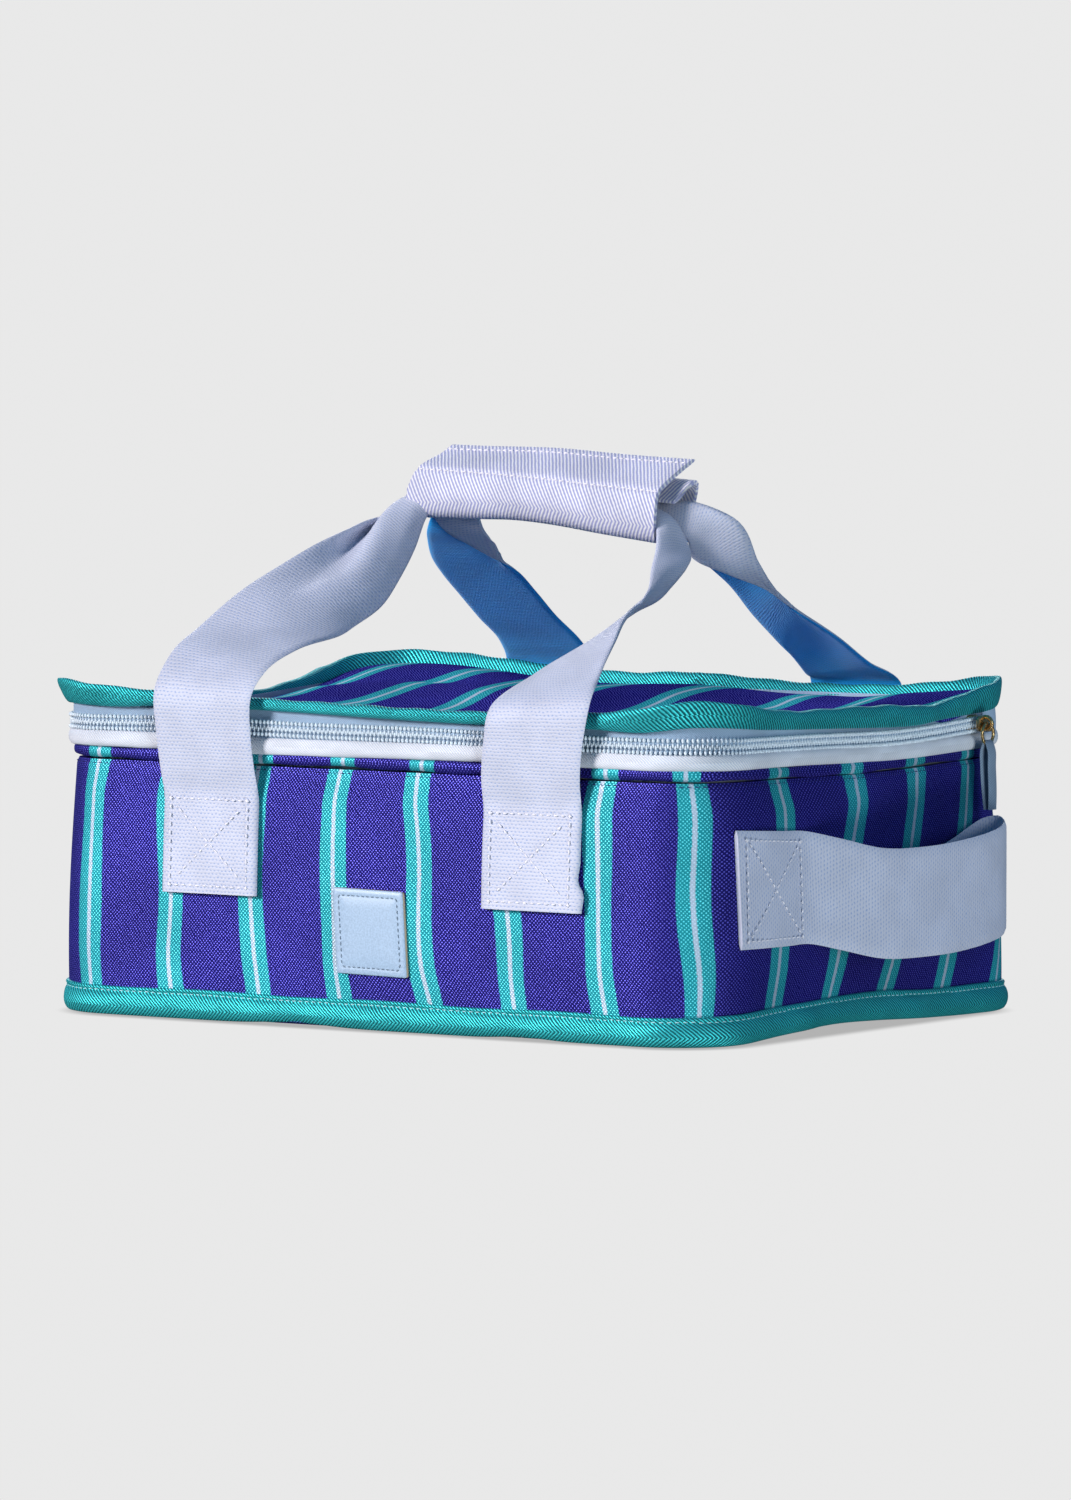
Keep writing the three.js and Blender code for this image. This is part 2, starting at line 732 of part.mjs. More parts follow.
pullGeometry.applyMatrix4(new THREE.Matrix4().makeBasis(
  new THREE.Vector3(0, 0, 1),
  new THREE.Vector3(1, 0, 0),
  new THREE.Vector3(0, 1, 0),
));
addPiece('pull_strap', pullGeometry, 'patch');

export default bag;
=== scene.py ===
# Soft lunch bag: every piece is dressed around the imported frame, in metres
import math

import bpy
import numpy as np
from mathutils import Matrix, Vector


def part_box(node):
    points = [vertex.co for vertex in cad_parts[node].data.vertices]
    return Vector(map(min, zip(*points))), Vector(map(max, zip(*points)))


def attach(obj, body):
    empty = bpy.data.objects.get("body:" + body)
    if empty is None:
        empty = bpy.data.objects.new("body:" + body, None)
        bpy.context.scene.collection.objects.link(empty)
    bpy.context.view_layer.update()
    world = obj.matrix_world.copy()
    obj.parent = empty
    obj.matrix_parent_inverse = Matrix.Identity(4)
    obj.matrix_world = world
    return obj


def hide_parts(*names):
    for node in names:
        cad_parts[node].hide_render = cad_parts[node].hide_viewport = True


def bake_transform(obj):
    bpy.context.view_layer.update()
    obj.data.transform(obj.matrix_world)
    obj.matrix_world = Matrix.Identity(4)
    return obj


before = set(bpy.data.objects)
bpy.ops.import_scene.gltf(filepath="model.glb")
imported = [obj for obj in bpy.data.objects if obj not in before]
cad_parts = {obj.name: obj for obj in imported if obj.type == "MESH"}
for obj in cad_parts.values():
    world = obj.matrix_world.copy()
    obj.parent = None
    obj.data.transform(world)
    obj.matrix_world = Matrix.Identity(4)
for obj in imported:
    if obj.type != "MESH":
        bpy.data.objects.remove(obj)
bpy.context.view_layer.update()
mm = 0.001


def boxMm(node):
    low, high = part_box(node)
    return np.array(low) / mm, np.array(high) / mm


wallLow, wallHigh = boxMm("outer_wall")
bagForm = dict(
    halfX=(wallHigh[0] - wallLow[0]) / 2,
    halfY=(wallHigh[1] - wallLow[1]) / 2,
    corner=26.0,         # plan radius of the wall
    step=2.0,            # spacing of the stations along the wall
    lean=1.6,            # how far the wall leans in at its top
    belly=1.1,           # swell at half height
    ripple=0.35,
)
wallTop = wallHigh[2]
wallBottom = wallLow[2]
straightX = bagForm["halfX"] - bagForm["corner"]
straightY = bagForm["halfY"] - bagForm["corner"]
quarter = bagForm["corner"] * math.pi / 2
# straight and curved runs from the front centre, anticlockwise from above: length, turns
outlineRuns = [(straightX, False), (quarter, True), (2 * straightY, False), (quarter, True),
               (2 * straightX, False), (quarter, True), (2 * straightY, False), (quarter, True),
               (straightX, False)]
perimeter = sum(length for length, turns in outlineRuns)
rightMiddle = straightX + quarter + straightY
rearMiddle = perimeter / 2
leftMiddle = perimeter - rightMiddle
cornerAt = dict(
    frontRight=straightX + quarter / 2,
    rearRight=rightMiddle + straightY + quarter / 2,
    rearLeft=leftMiddle - straightY - quarter / 2,
    frontLeft=perimeter - straightX - quarter / 2,
)
# place, width and size of the extra lean at two corners, and of the zip's drop at the two ends
leanBumps = [(cornerAt["rearRight"], 60, 3.4), (cornerAt["frontLeft"], 50, 1.0)]
dropBumps = [(rightMiddle + 8, 58, 2.4), (leftMiddle, 62, 4.2)]


def outlineAt(s):
    # plan point and outward normal at arc length s from the front centre
    s = np.mod(np.asarray(s, float), perimeter)
    x, y = np.zeros_like(s), np.zeros_like(s)
    heading = np.zeros_like(s)
    startX, startY, angle, start = 0.0, -bagForm["halfY"], 0.0, 0.0
    radius = bagForm["corner"]
    for length, turns in outlineRuns:
        here = (s >= start - 1e-9) & (s <= start + length + 1e-9)
        along = s[here] - start
        if turns:
            turned = angle + along / radius
            x[here] = startX + radius * (np.sin(turned) - math.sin(angle))
            y[here] = startY + radius * (math.cos(angle) - np.cos(turned))
            heading[here] = turned
            startX += radius * (math.sin(angle + math.pi / 2) - math.sin(angle))
            startY += radius * (math.cos(angle) - math.cos(angle + math.pi / 2))
            angle += math.pi / 2
        else:
            x[here] = startX + along * math.cos(angle)
            y[here] = startY + along * math.sin(angle)
            heading[here] = angle
            startX += length * math.cos(angle)
            startY += length * math.sin(angle)
        start += length
    return x, y, np.sin(heading), -np.cos(heading)


def aroundBump(s, centre, width):
    # smooth bump of height 1 at arc length centre, periodic round the bag
    gap = np.mod(np.asarray(s, float) - centre + perimeter / 2, perimeter) - perimeter / 2
    return np.exp(-(gap / width) ** 2)


def bumps(s, rows):
    # sum of bumps, each given as its place, width and height
    return sum(height * aroundBump(s, place, width) for place, width, height in rows)


def waves(s, rows):
    # sum of waves along the outline, each given as its size, turn per millimetre and start
    return sum(size * np.sin(s * turn + start) for size, turn, start in rows)


def smooth(low, high, value):
    t = np.clip((np.asarray(value, float) - low) / (high - low), 0, 1)
    return t * t * (3 - 2 * t)


def hermite(t, a, b, slopeA, slopeB):
    # cubic from a to b with the given slopes at its ends
    return ((2 * t ** 3 - 3 * t ** 2 + 1) * a + (t ** 3 - 2 * t ** 2 + t) * slopeA
            + (3 * t ** 2 - 2 * t ** 3) * b + (t ** 3 - t ** 2) * slopeB)


def ring(knots, s):
    # periodic smooth curve through (arc length, value) knots
    at, value = np.array(sorted((place % perimeter, value) for place, value in knots), float).T
    at = np.concatenate([at[-2:] - perimeter, at, at[:2] + perimeter])
    value = np.concatenate([value[-2:], value, value[:2]])
    s = np.mod(np.asarray(s, float), perimeter)
    i = np.clip(np.searchsorted(at, s) - 1, 1, len(at) - 3)
    span = at[i + 1] - at[i]
    slopeA = (value[i + 1] - value[i - 1]) / (at[i + 1] - at[i - 1])
    slopeB = (value[i + 2] - value[i]) / (at[i + 2] - at[i])
    return hermite((s - at[i]) / span, value[i], value[i + 1], span * slopeA, span * slopeB)


def topLean(s):
    return bagForm["lean"] + bumps(s, leanBumps)


def zipDrop(s):
    return bumps(s, dropBumps)


def wallOffset(s, z):
    # outward place of the cloth face: leans in to the top, swells at half height, ripples a little
    t = np.clip((np.asarray(z, float) - wallBottom) / (wallTop - wallBottom), 0, 1)
    swell = bagForm["belly"] * np.sin(math.pi * t) * (0.7 + 0.3 * np.sin(s * 0.031 + 0.6))
    ripples = np.sin(s * 0.083 + 1.1 + 1.6 * t) * np.sin(math.pi * t) + 0.6 * np.sin(s * 0.19 - 2.2 * t)
    return 0.5 - topLean(s) * t ** 1.6 + swell + bagForm["ripple"] * ripples * (0.35 + 0.65 * t)


def splineThrough(points, count, closed=False):
    # Catmull-Rom curve through the points, evenly sampled by knot
    p = np.asarray(points, float)
    n = len(p)
    spans = n if closed else n - 1
    u = np.linspace(0, spans, count, endpoint=not closed)
    i = np.minimum(u.astype(int), spans - 1)

    def knot(k):
        return p[k % n] if closed else p[np.clip(k, 0, n - 1)]
    a, b, c, d = (knot(i + k) for k in (-1, 0, 1, 2))
    return hermite((u - i)[:, None], b, c, (c - a) / 2, (d - b) / 2)


def curveThrough(knots, values, at):
    # smooth curve through values at uneven knots, held level past both ends
    knots, values = np.asarray(knots, float), np.asarray(values, float)
    i = np.clip(np.searchsorted(knots, at, side="right") - 1, 0, len(knots) - 2)
    span = knots[i + 1] - knots[i]
    t = np.clip((at - knots[i]) / span, 0, 1)
    if values.ndim > 1:
        span, t = span[:, None], t[:, None]
    slope = np.gradient(values, knots, axis=0)
    return hermite(t, values[i], values[i + 1], span * slope[i], span * slope[i + 1])


def runLength(points):
    # distance along a polyline from its first point
    step = np.linalg.norm(np.diff(points, axis=0), axis=1)
    return np.concatenate([[0], np.cumsum(step)])


def meshObject(name, points, faces, uvs, material, sharpAngle):
    # points in mm; uvs one pair per face corner, in metres, or None
    mesh = bpy.data.meshes.new(name)
    mesh.from_pydata((np.asarray(points) * mm).tolist(), [], faces)
    if uvs is not None:
        layer = mesh.uv_layers.new(name="cloth")
        layer.data.foreach_set("uv", np.asarray(uvs, np.float32).ravel())
    mesh.polygons.foreach_set("use_smooth", [True] * len(mesh.polygons))
    mesh.update()
    mesh.set_sharp_from_angle(angle=math.radians(sharpAngle))
    mesh.materials.append(material)
    piece = bpy.data.objects.new(name, mesh)
    bpy.context.scene.collection.objects.link(piece)
    return piece


def gridPiece(name, grid, uv, closed, material, sharpAngle=50):
    # closed body from a grid of rows and section points; open rows get end caps
    nu, nv = grid.shape[:2]
    a, b = np.meshgrid(np.arange(nu - (not closed)), np.arange(nv), indexing="ij")
    nextA, nextB = (a + 1) % nu, (b + 1) % nv
    quads = np.stack([a * nv + b, nextA * nv + b, nextA * nv + nextB, a * nv + nextB], -1).reshape(-1, 4)
    corners = np.stack([uv[a, b], uv[a + 1, b], uv[a + 1, b + 1], uv[a, b + 1]], -2).reshape(-1, 4, 2)
    flat = grid.reshape(-1, 3)
    faces, loops = quads.tolist(), corners.tolist()
    if not closed:
        faces += [list(range(nv)), list(range((nu - 1) * nv, nu * nv))[::-1]]
        loops += [uv[0, :nv].tolist(), uv[-1, :nv][::-1].tolist()]
    if bodyVolume(flat, faces) < 0:
        faces = [face[::-1] for face in faces]
        loops = [loop[::-1] for loop in loops]
    pairs = np.array([pair for loop in loops for pair in loop])
    return meshObject(name, flat, faces, pairs * mm, material, sharpAngle)


def bodyVolume(points, faces):
    # signed, so that a body whose faces point inwards shows as negative
    fans = [(face[0], face[k], face[k + 1]) for face in faces for k in range(1, len(face) - 1)]
    a, b, c = (points[np.array(fans)[:, k]] for k in range(3))
    return float(np.einsum("ij,ij->i", a, np.cross(b, c)).sum() / 6)


def outwardFaces(points, faces):
    return [face[::-1] for face in faces] if bodyVolume(points, faces) < 0 else faces


def onOutline(s, offset, z):
    # points at arc lengths s, carried outwards by an offset, at height z
    x, y, nx, ny = outlineAt(s)
    return np.stack(np.broadcast_arrays(x + nx * offset, y + ny * offset, z), -1)


def sectionUv(s, offset, z):
    # cloth coordinates: along the outline, and round the section at its mean shape
    section = np.stack([offset.mean(0), z.mean(0)], -1)
    v = runLength(np.concatenate([section, section[:1]]))
    return np.stack(np.meshgrid(s, v, indexing="ij"), -1)


def ringPiece(name, s, offset, z, closed, material):
    # section of (offset, z) points carried round the outline
    uvS = np.append(s, s[-1] + (s[1] - s[0])) if closed else s
    return gridPiece(name, onOutline(s[:, None], offset, z), sectionUv(uvS, offset, z), closed, material)


def stationsRound():
    count = int(perimeter / bagForm["step"])
    return np.arange(count) * perimeter / count - perimeter / 2


def stationsBetween(start, end, step=bagForm["step"]):
    count = int(abs(end - start) / step) + 2
    return np.linspace(start, end, count)


print("frame read, outline", round(perimeter, 1), "mm round")


# Shader groups shared by the cloths
def newGroup(name, results, **values):
    # shader group of plain numbers: a place on the cloth and its values in, its results out
    group = bpy.data.node_groups.new(name, "ShaderNodeTree")
    for label, value in dict(Across=0.0, Along=0.0, **values).items():
        socket = group.interface.new_socket(label, in_out="INPUT", socket_type="NodeSocketFloat")
        socket.default_value = value
    for label in results:
        group.interface.new_socket(label, in_out="OUTPUT", socket_type="NodeSocketFloat")
    w = Wires(group)
    given = group.nodes.new("NodeGroupInput").outputs
    cells = group.nodes.new("ShaderNodeCombineXYZ")
    w.put(given["Across"], cells.inputs[0])
    w.put(given["Along"], cells.inputs[1])
    return w, given, cells.outputs[0], group.nodes.new("NodeGroupOutput").inputs


class Wires:
    # small helper that adds nodes to one tree and joins them
    def __init__(self, tree):
        self.tree = tree

    def put(self, value, socket):
        if isinstance(value, bpy.types.NodeSocket):
            self.tree.links.new(value, socket)
        elif value is not None:
            socket.default_value = value

    def math(self, operation, a, b=None, c=None):
        node = self.tree.nodes.new("ShaderNodeMath")
        node.operation = operation
        for value, socket in zip((a, b, c), node.inputs):
            self.put(value, socket)
        return node.outputs[0]

    def ramp(self, value, low, high, outLow=0.0, outHigh=1.0):
        node = self.tree.nodes.new("ShaderNodeMapRange")
        node.interpolation_type = "SMOOTHSTEP"
        for item, socket in zip((value, low, high, outLow, outHigh), node.inputs):
            self.put(item, socket)
        return node.outputs[0]

    def mix(self, factor, a, b, blend="MIX"):
        node = self.tree.nodes.new("ShaderNodeMix")
        node.data_type = "RGBA"
        node.blend_type = blend
        self.put(factor, node.inputs[0])
        self.put(a, node.inputs[6])
        self.put(b, node.inputs[7])
        return node.outputs[2]

    def noise(self, vector, scale, detail=2.0, rough=0.5):
        node = self.tree.nodes.new("ShaderNodeTexNoise")
        self.put(vector, node.inputs["Vector"])
        self.put(scale, node.inputs["Scale"])
        node.inputs["Detail"].default_value = detail
        node.inputs["Roughness"].default_value = rough
        return node.outputs["Fac"]

    def split(self, vector):
        node = self.tree.nodes.new("ShaderNodeSeparateXYZ")
        self.put(vector, node.inputs[0])
        return node.outputs

    def group(self, group, **values):
        node = self.tree.nodes.new("ShaderNodeGroup")
        node.node_tree = group
        for label, value in values.items():
            self.put(value, node.inputs[label])
        return node.outputs

    def wave(self, value, turn):
        # sine of a place times its turn per millimetre
        return self.math("SINE", self.math("MULTIPLY", value, turn))


def weaveGroup():
    # oxford cloth: staggered raised crossings, with some uneven yarns
    w, given, cells, out = newGroup("oxfordWeave", ("Height", "Dots", "Patches"), Pitch=1.3)
    turn = w.math("DIVIDE", 2 * math.pi, given["Pitch"])
    wander = w.math("MULTIPLY_ADD", w.noise(cells, 0.35, 2), 1.1, -0.55)
    across = w.wave(w.math("ADD", given["Across"], wander), turn)
    along = w.wave(w.math("MULTIPLY_ADD", wander, 0.6, given["Along"]), turn)
    crossing = w.math("MULTIPLY", across, along)
    uneven = w.math("MULTIPLY_ADD", w.noise(cells, 0.9, 1), 0.9, 0.55)
    w.put(w.math("MULTIPLY_ADD", crossing, 0.5, 0.5), out["Height"])
    w.put(w.ramp(w.math("MULTIPLY", crossing, uneven), 0.18, 0.75), out["Dots"])
    w.put(w.noise(cells, 0.028, 2), out["Patches"])
    return w.tree


def twillGroup():
    # twill: slanted ridges; Slope is the rise per unit across, Zig above 0 turns them into herringbone
    w, given, cells, out = newGroup("twillRidges", ("Height", "Ridges", "Patches"),
                                    Pitch=0.9, Slope=1.0, Zig=0.0, Middle=0.0)
    turn = w.math("DIVIDE", 2 * math.pi, given["Pitch"])
    fromMiddle = w.math("SUBTRACT", given["Along"], given["Middle"])
    folded = w.math("ABSOLUTE", fromMiddle)
    slant = w.math("ADD", w.math("MULTIPLY", folded, given["Zig"]),
                   w.math("MULTIPLY", fromMiddle, w.math("SUBTRACT", 1.0, given["Zig"])))
    wander = w.math("MULTIPLY", w.noise(cells, 0.5, 2), 0.5)
    risen = w.math("MULTIPLY_ADD", slant, given["Slope"], given["Across"])
    ridge = w.wave(w.math("ADD", risen, wander), turn)
    yarn = w.wave(w.math("SUBTRACT", given["Along"], w.math("MULTIPLY", given["Across"], 0.35)), turn)
    height = w.math("MULTIPLY_ADD", w.math("MULTIPLY_ADD", yarn, 0.16, ridge), 0.43, 0.5)
    w.put(height, out["Height"])
    w.put(w.ramp(height, 0.2, 0.85), out["Ridges"])
    w.put(w.noise(cells, 0.05, 3), out["Patches"])
    return w.tree


def webbingGroup():
    # webbing: ribs across the width, broken into staggered floats by the warp
    w, given, cells, out = newGroup("webbingRibs", ("Height", "Pits", "Patches"), Rib=1.2, Warp=1.5)
    ribTurn = w.math("DIVIDE", 2 * math.pi, given["Rib"])
    warpTurn = w.math("DIVIDE", 2 * math.pi, given["Warp"])
    wander = w.math("MULTIPLY_ADD", w.noise(cells, 0.55, 3), 1.2, -0.6)
    place = w.math("ADD", given["Along"], wander)
    rib = w.wave(place, ribTurn)
    halfRib = w.wave(place, w.math("MULTIPLY", ribTurn, 0.5))
    floats = w.math("MULTIPLY", w.wave(given["Across"], warpTurn), halfRib)
    height = w.math("ADD", w.math("MULTIPLY_ADD", rib, 0.26, 0.5), w.math("MULTIPLY", floats, 0.16))
    w.put(height, out["Height"])
    w.put(w.ramp(height, 0.40, 0.1), out["Pits"])
    w.put(w.noise(cells, 0.06, 3), out["Patches"])
    return w.tree


def stripeGroup():
    # repeating stripe: a pale line between two coloured bands
    w, given, cells, out = newGroup("stripeBands", ("Bands", "Lines"),
                                    Pitch=34.3, Start=0.0, Line=1.0, Band=5.2)
    frayed = w.math("MULTIPLY_ADD", w.noise(cells, 1.3, 1), 0.7, -0.35)
    place = w.math("SUBTRACT", w.math("ADD", given["Across"], frayed), given["Start"])
    turns = w.math("DIVIDE", place, given["Pitch"])
    away = w.math("ABSOLUTE", w.math("SUBTRACT", w.math("FRACT", w.math("ADD", turns, 0.5)), 0.5))
    distance = w.math("MULTIPLY", away, given["Pitch"])
    edge = 0.22
    for label, half in (("Bands", "Band"), ("Lines", "Line")):
        w.put(w.ramp(w.math("SUBTRACT", distance, given[half]), edge, -edge), out[label])
    return w.tree


weave, twill, webbing, stripes = weaveGroup(), twillGroup(), webbingGroup(), stripeGroup()


def newMaterial(name, roughness, sheen=0.0, specular=0.5):
    material = bpy.data.materials.new(name)
    material.use_nodes = True
    tree = material.node_tree
    shader = tree.nodes["Principled BSDF"]
    shader.inputs["Roughness"].default_value = roughness
    shader.inputs["Specular IOR Level"].default_value = specular
    shader.inputs["Sheen Weight"].default_value = sheen
    shader.inputs["Sheen Roughness"].default_value = 0.45
    return material, Wires(tree), shader


def inMm(w, vector):
    scaled = w.tree.nodes.new("ShaderNodeVectorMath")
    scaled.operation = "SCALE"
    w.put(vector, scaled.inputs[0])
    scaled.inputs["Scale"].default_value = 1 / mm
    return scaled.outputs[0]


def clothPlace(w):
    # millimetres along (x) and across (y) a piece's own cloth
    node = w.tree.nodes.new("ShaderNodeUVMap")
    node.uv_map = "cloth"
    return inMm(w, node.outputs[0])


def bodyPlace(w):
    # millimetres in the bag's own frame
    return inMm(w, w.tree.nodes.new("ShaderNodeTexCoord").outputs["Object"])


def addBump(w, shader, height, strength, depth):
    bump = w.tree.nodes.new("ShaderNodeBump")
    bump.inputs["Strength"].default_value = strength
    bump.inputs["Distance"].default_value = depth * mm
    w.put(height, bump.inputs["Height"])
    w.put(bump.outputs[0], shader.inputs["Normal"])


def shade(colour, factor):
    return tuple(min(1.0, c * factor) for c in colour[:3]) + (1.0,)


palette = dict(
    violet=(0.008, 0.005, 0.120, 1), violetDot=(0.150, 0.140, 0.720, 1),
    teal=(0.012, 0.280, 0.320, 1), tealDot=(0.140, 0.760, 0.820, 1),
    line=(0.54, 0.66, 0.78, 1),
    tape=(0.002, 0.110, 0.120, 1), tapeRidge=(0.060, 0.680, 0.700, 1),
    # the webbing's pit colour is painted shade in its hollows; its deep blue is painted shade for the rear
    # strap's face turned to the lid
    web=(0.545, 0.555, 0.650, 1), webPitShade=(0.270, 0.350, 0.560, 1), webPaintedShade=(0.003, 0.335, 0.800, 1),
    grip=(0.800, 0.775, 0.785, 1), gripPit=(0.350, 0.360, 0.580, 1),
    band=(0.760, 0.755, 0.770, 1), bandPit=(0.540, 0.580, 0.670, 1),
    zip=(0.330, 0.450, 0.600, 1), tooth=(0.680, 0.750, 0.810, 1),
    leather=(0.340, 0.455, 0.590, 1), thread=(0.820, 0.780, 0.820, 1),
    film=(0.430, 0.460, 0.490, 1), brass=(0.70, 0.46, 0.20, 1),
    tealThread=(0.42, 0.72, 0.76, 1), hide=(0.52, 0.36, 0.24, 1),
)
stripe = dict(pitch=34.3, start=-112.0, lidStart=-12.0, line=0.78, band=5.1, weave=1.3)


def finishCloth(w, shader, colour, cloth, mask, worn, rough, relief, shine=0.0):
    # worn is the patches' upper bound with the dark and light tone, rough the two ends of the roughness
    # over the yarns' mask, and relief its strength and depth
    tone = w.ramp(cloth["Patches"], 0.3, *worn)
    grey = w.tree.nodes.new("ShaderNodeCombineColor")
    for socket in grey.inputs[:3]:
        w.put(tone, socket)
    w.put(w.mix(1.0, colour, grey.outputs[0], "MULTIPLY"), shader.inputs["Base Color"])
    w.put(w.ramp(mask, 0.0, 1.0, *rough), shader.inputs["Roughness"])
    # raised yarns that shine answer the light in their own colour
    if shine:
        w.put(w.ramp(mask, 0.0, 1.0, 0.5 * shine, shine), shader.inputs["Metallic"])
    addBump(w, shader, cloth["Height"], *relief)


def stripedCloth(name, stripeStart, onFrame=False, shine=0.85, specular=0.15):
    material, w, shader = newMaterial(name, 0.62, specular=specular)
    place = w.split(bodyPlace(w) if onFrame else clothPlace(w))
    bands = w.group(stripes, Across=place[0], Along=place[1], Pitch=stripe["pitch"], Start=stripeStart,
                    Line=stripe["line"], Band=stripe["band"])
    cloth = w.group(weave, Across=place[0], Along=place[1], Pitch=stripe["weave"])
    violet = w.mix(cloth["Dots"], palette["violet"], palette["violetDot"])
    teal = w.mix(cloth["Dots"], palette["teal"], palette["tealDot"])
    line = w.mix(cloth["Dots"], shade(palette["line"], 0.8), palette["line"])
    colour = w.mix(bands["Lines"], w.mix(bands["Bands"], violet, teal), line)
    finishCloth(w, shader, colour, cloth, cloth["Dots"], worn=(0.75, 0.86, 1.1), rough=(0.7, 0.5),
                relief=(0.6, 0.22), shine=shine)
    return material


def twillCloth(name, low, high, pitch, slope, zig=0.0, middle=0.0, depth=0.16, sheen=0.15, shine=0.0):
    material, w, shader = newMaterial(name, 0.6, sheen=sheen, specular=0.2)
    place = w.split(clothPlace(w))
    cloth = w.group(twill, Across=place[0], Along=place[1], Pitch=pitch, Slope=slope, Zig=zig, Middle=middle)
    colour = w.mix(cloth["Ridges"], low, high)
    finishCloth(w, shader, colour, cloth, cloth["Ridges"], worn=(0.7, 0.88, 1.06), rough=(0.7, 0.5),
                relief=(0.7, depth), shine=shine)
    return material


def webbingCloth(name):
    material, w, shader = newMaterial(name, 0.6, sheen=0.2, specular=0.3)
    place = w.split(clothPlace(w))
    cloth = w.group(webbing, Across=place[1], Along=place[0], Rib=1.15, Warp=1.5)
    # painted shade: pits take a darker blue for the shade in the weave's hollows, and where the inside mark
    # is set the face takes a deep blue for the shade on the rear strap
    outside = w.mix(cloth["Pits"], palette["web"], palette["webPitShade"])
    inner = w.mix(cloth["Pits"], palette["webPaintedShade"], shade(palette["webPaintedShade"], 0.8))
    shadeMark = w.tree.nodes.new("ShaderNodeAttribute")
    shadeMark.attribute_name = "inside"
    colour = w.mix(shadeMark.outputs["Fac"], outside, inner)
    finishCloth(w, shader, colour, cloth, cloth["Pits"], worn=(0.7, 0.93, 1.04), rough=(0.55, 0.75),
                relief=(0.55, 0.22))
    return material


def plainFinish(name, colour, roughness, grain=0.6, depth=0.05, metallic=0.0, sheen=0.0):
    # smooth stuff with a fine grain in tone, gloss and relief
    material, w, shader = newMaterial(name, roughness, sheen=sheen)
    place = bodyPlace(w)
    mottle = w.noise(place, grain, 3)
    tone = w.mix(w.ramp(mottle, 0.3, 0.7), shade(colour, 0.88), shade(colour, 1.08))
    w.put(tone, shader.inputs["Base Color"])
    w.put(w.ramp(mottle, 0.3, 0.7, roughness * 0.85, min(1.0, roughness * 1.15)), shader.inputs["Roughness"])
    shader.inputs["Metallic"].default_value = metallic
    addBump(w, shader, w.noise(place, grain * 3, 2), 0.5, depth)
    return material


wallCloth = stripedCloth("wallCloth", stripe["start"])
lidCloth = stripedCloth("lidCloth", stripe["lidStart"], onFrame=True, shine=0.0, specular=0.0)
bindingTape = twillCloth("bindingTape", palette["tape"], palette["tapeRidge"], pitch=1.35, slope=1.0,
                         depth=0.3, sheen=0.0, shine=0.75)
herringTape = twillCloth("herringTape", palette["tape"], palette["tapeRidge"], pitch=1.35, slope=1.1,
                         zig=1.0, middle=9.5, depth=0.22, sheen=0.0, shine=0.7)
bandCloth = twillCloth("bandCloth", palette["bandPit"], palette["band"], pitch=1.1, slope=1.2)
gripCloth = twillCloth("gripCloth", palette["gripPit"], palette["grip"], pitch=1.4, slope=0.6,
                       zig=1.0, middle=11.0)
zipCloth = twillCloth("zipCloth", shade(palette["zip"], 0.8), palette["zip"], pitch=0.8, slope=1.2)
hingeCloth = plainFinish("hingeCloth", palette["zip"], 0.7, grain=2.0, depth=0.06, sheen=0.15)
strapWeb = webbingCloth("strapWeb")
toothNylon = plainFinish("toothNylon", palette["tooth"], 0.35, grain=1.2)
threadCotton = plainFinish("threadCotton", palette["thread"], 0.7, grain=2.5, depth=0.03, sheen=0.2)
tealThread = plainFinish("tealThread", palette["tealThread"], 0.65, grain=2.5, depth=0.03)
violetThread = plainFinish("violetThread", palette["violet"], 0.7, grain=2.5, depth=0.03)
patchThread = plainFinish("patchThread", shade(palette["leather"], 0.42), 0.6, grain=2.5, depth=0.03)
pullTape = twillCloth("pullTape", shade(palette["zip"], 0.45), shade(palette["zip"], 0.7),
                      pitch=0.9, slope=1.0)
fastenerTape = plainFinish("fastenerTape", palette["band"], 0.85, grain=3.0, depth=0.12, sheen=0.3)
patchEdge = plainFinish("patchEdge", palette["hide"], 0.8, grain=3.0, depth=0.05)
patchLeather = plainFinish("patchLeather", palette["leather"], 0.42, grain=1.6, depth=0.06)
linerFilm = plainFinish("linerFilm", palette["film"], 0.35, grain=0.2, depth=0.25)
brassMetal = plainFinish("brassMetal", palette["brass"], 0.28, grain=0.9, depth=0.02, metallic=1.0)
print("cloths ready:", len(bpy.data.materials))


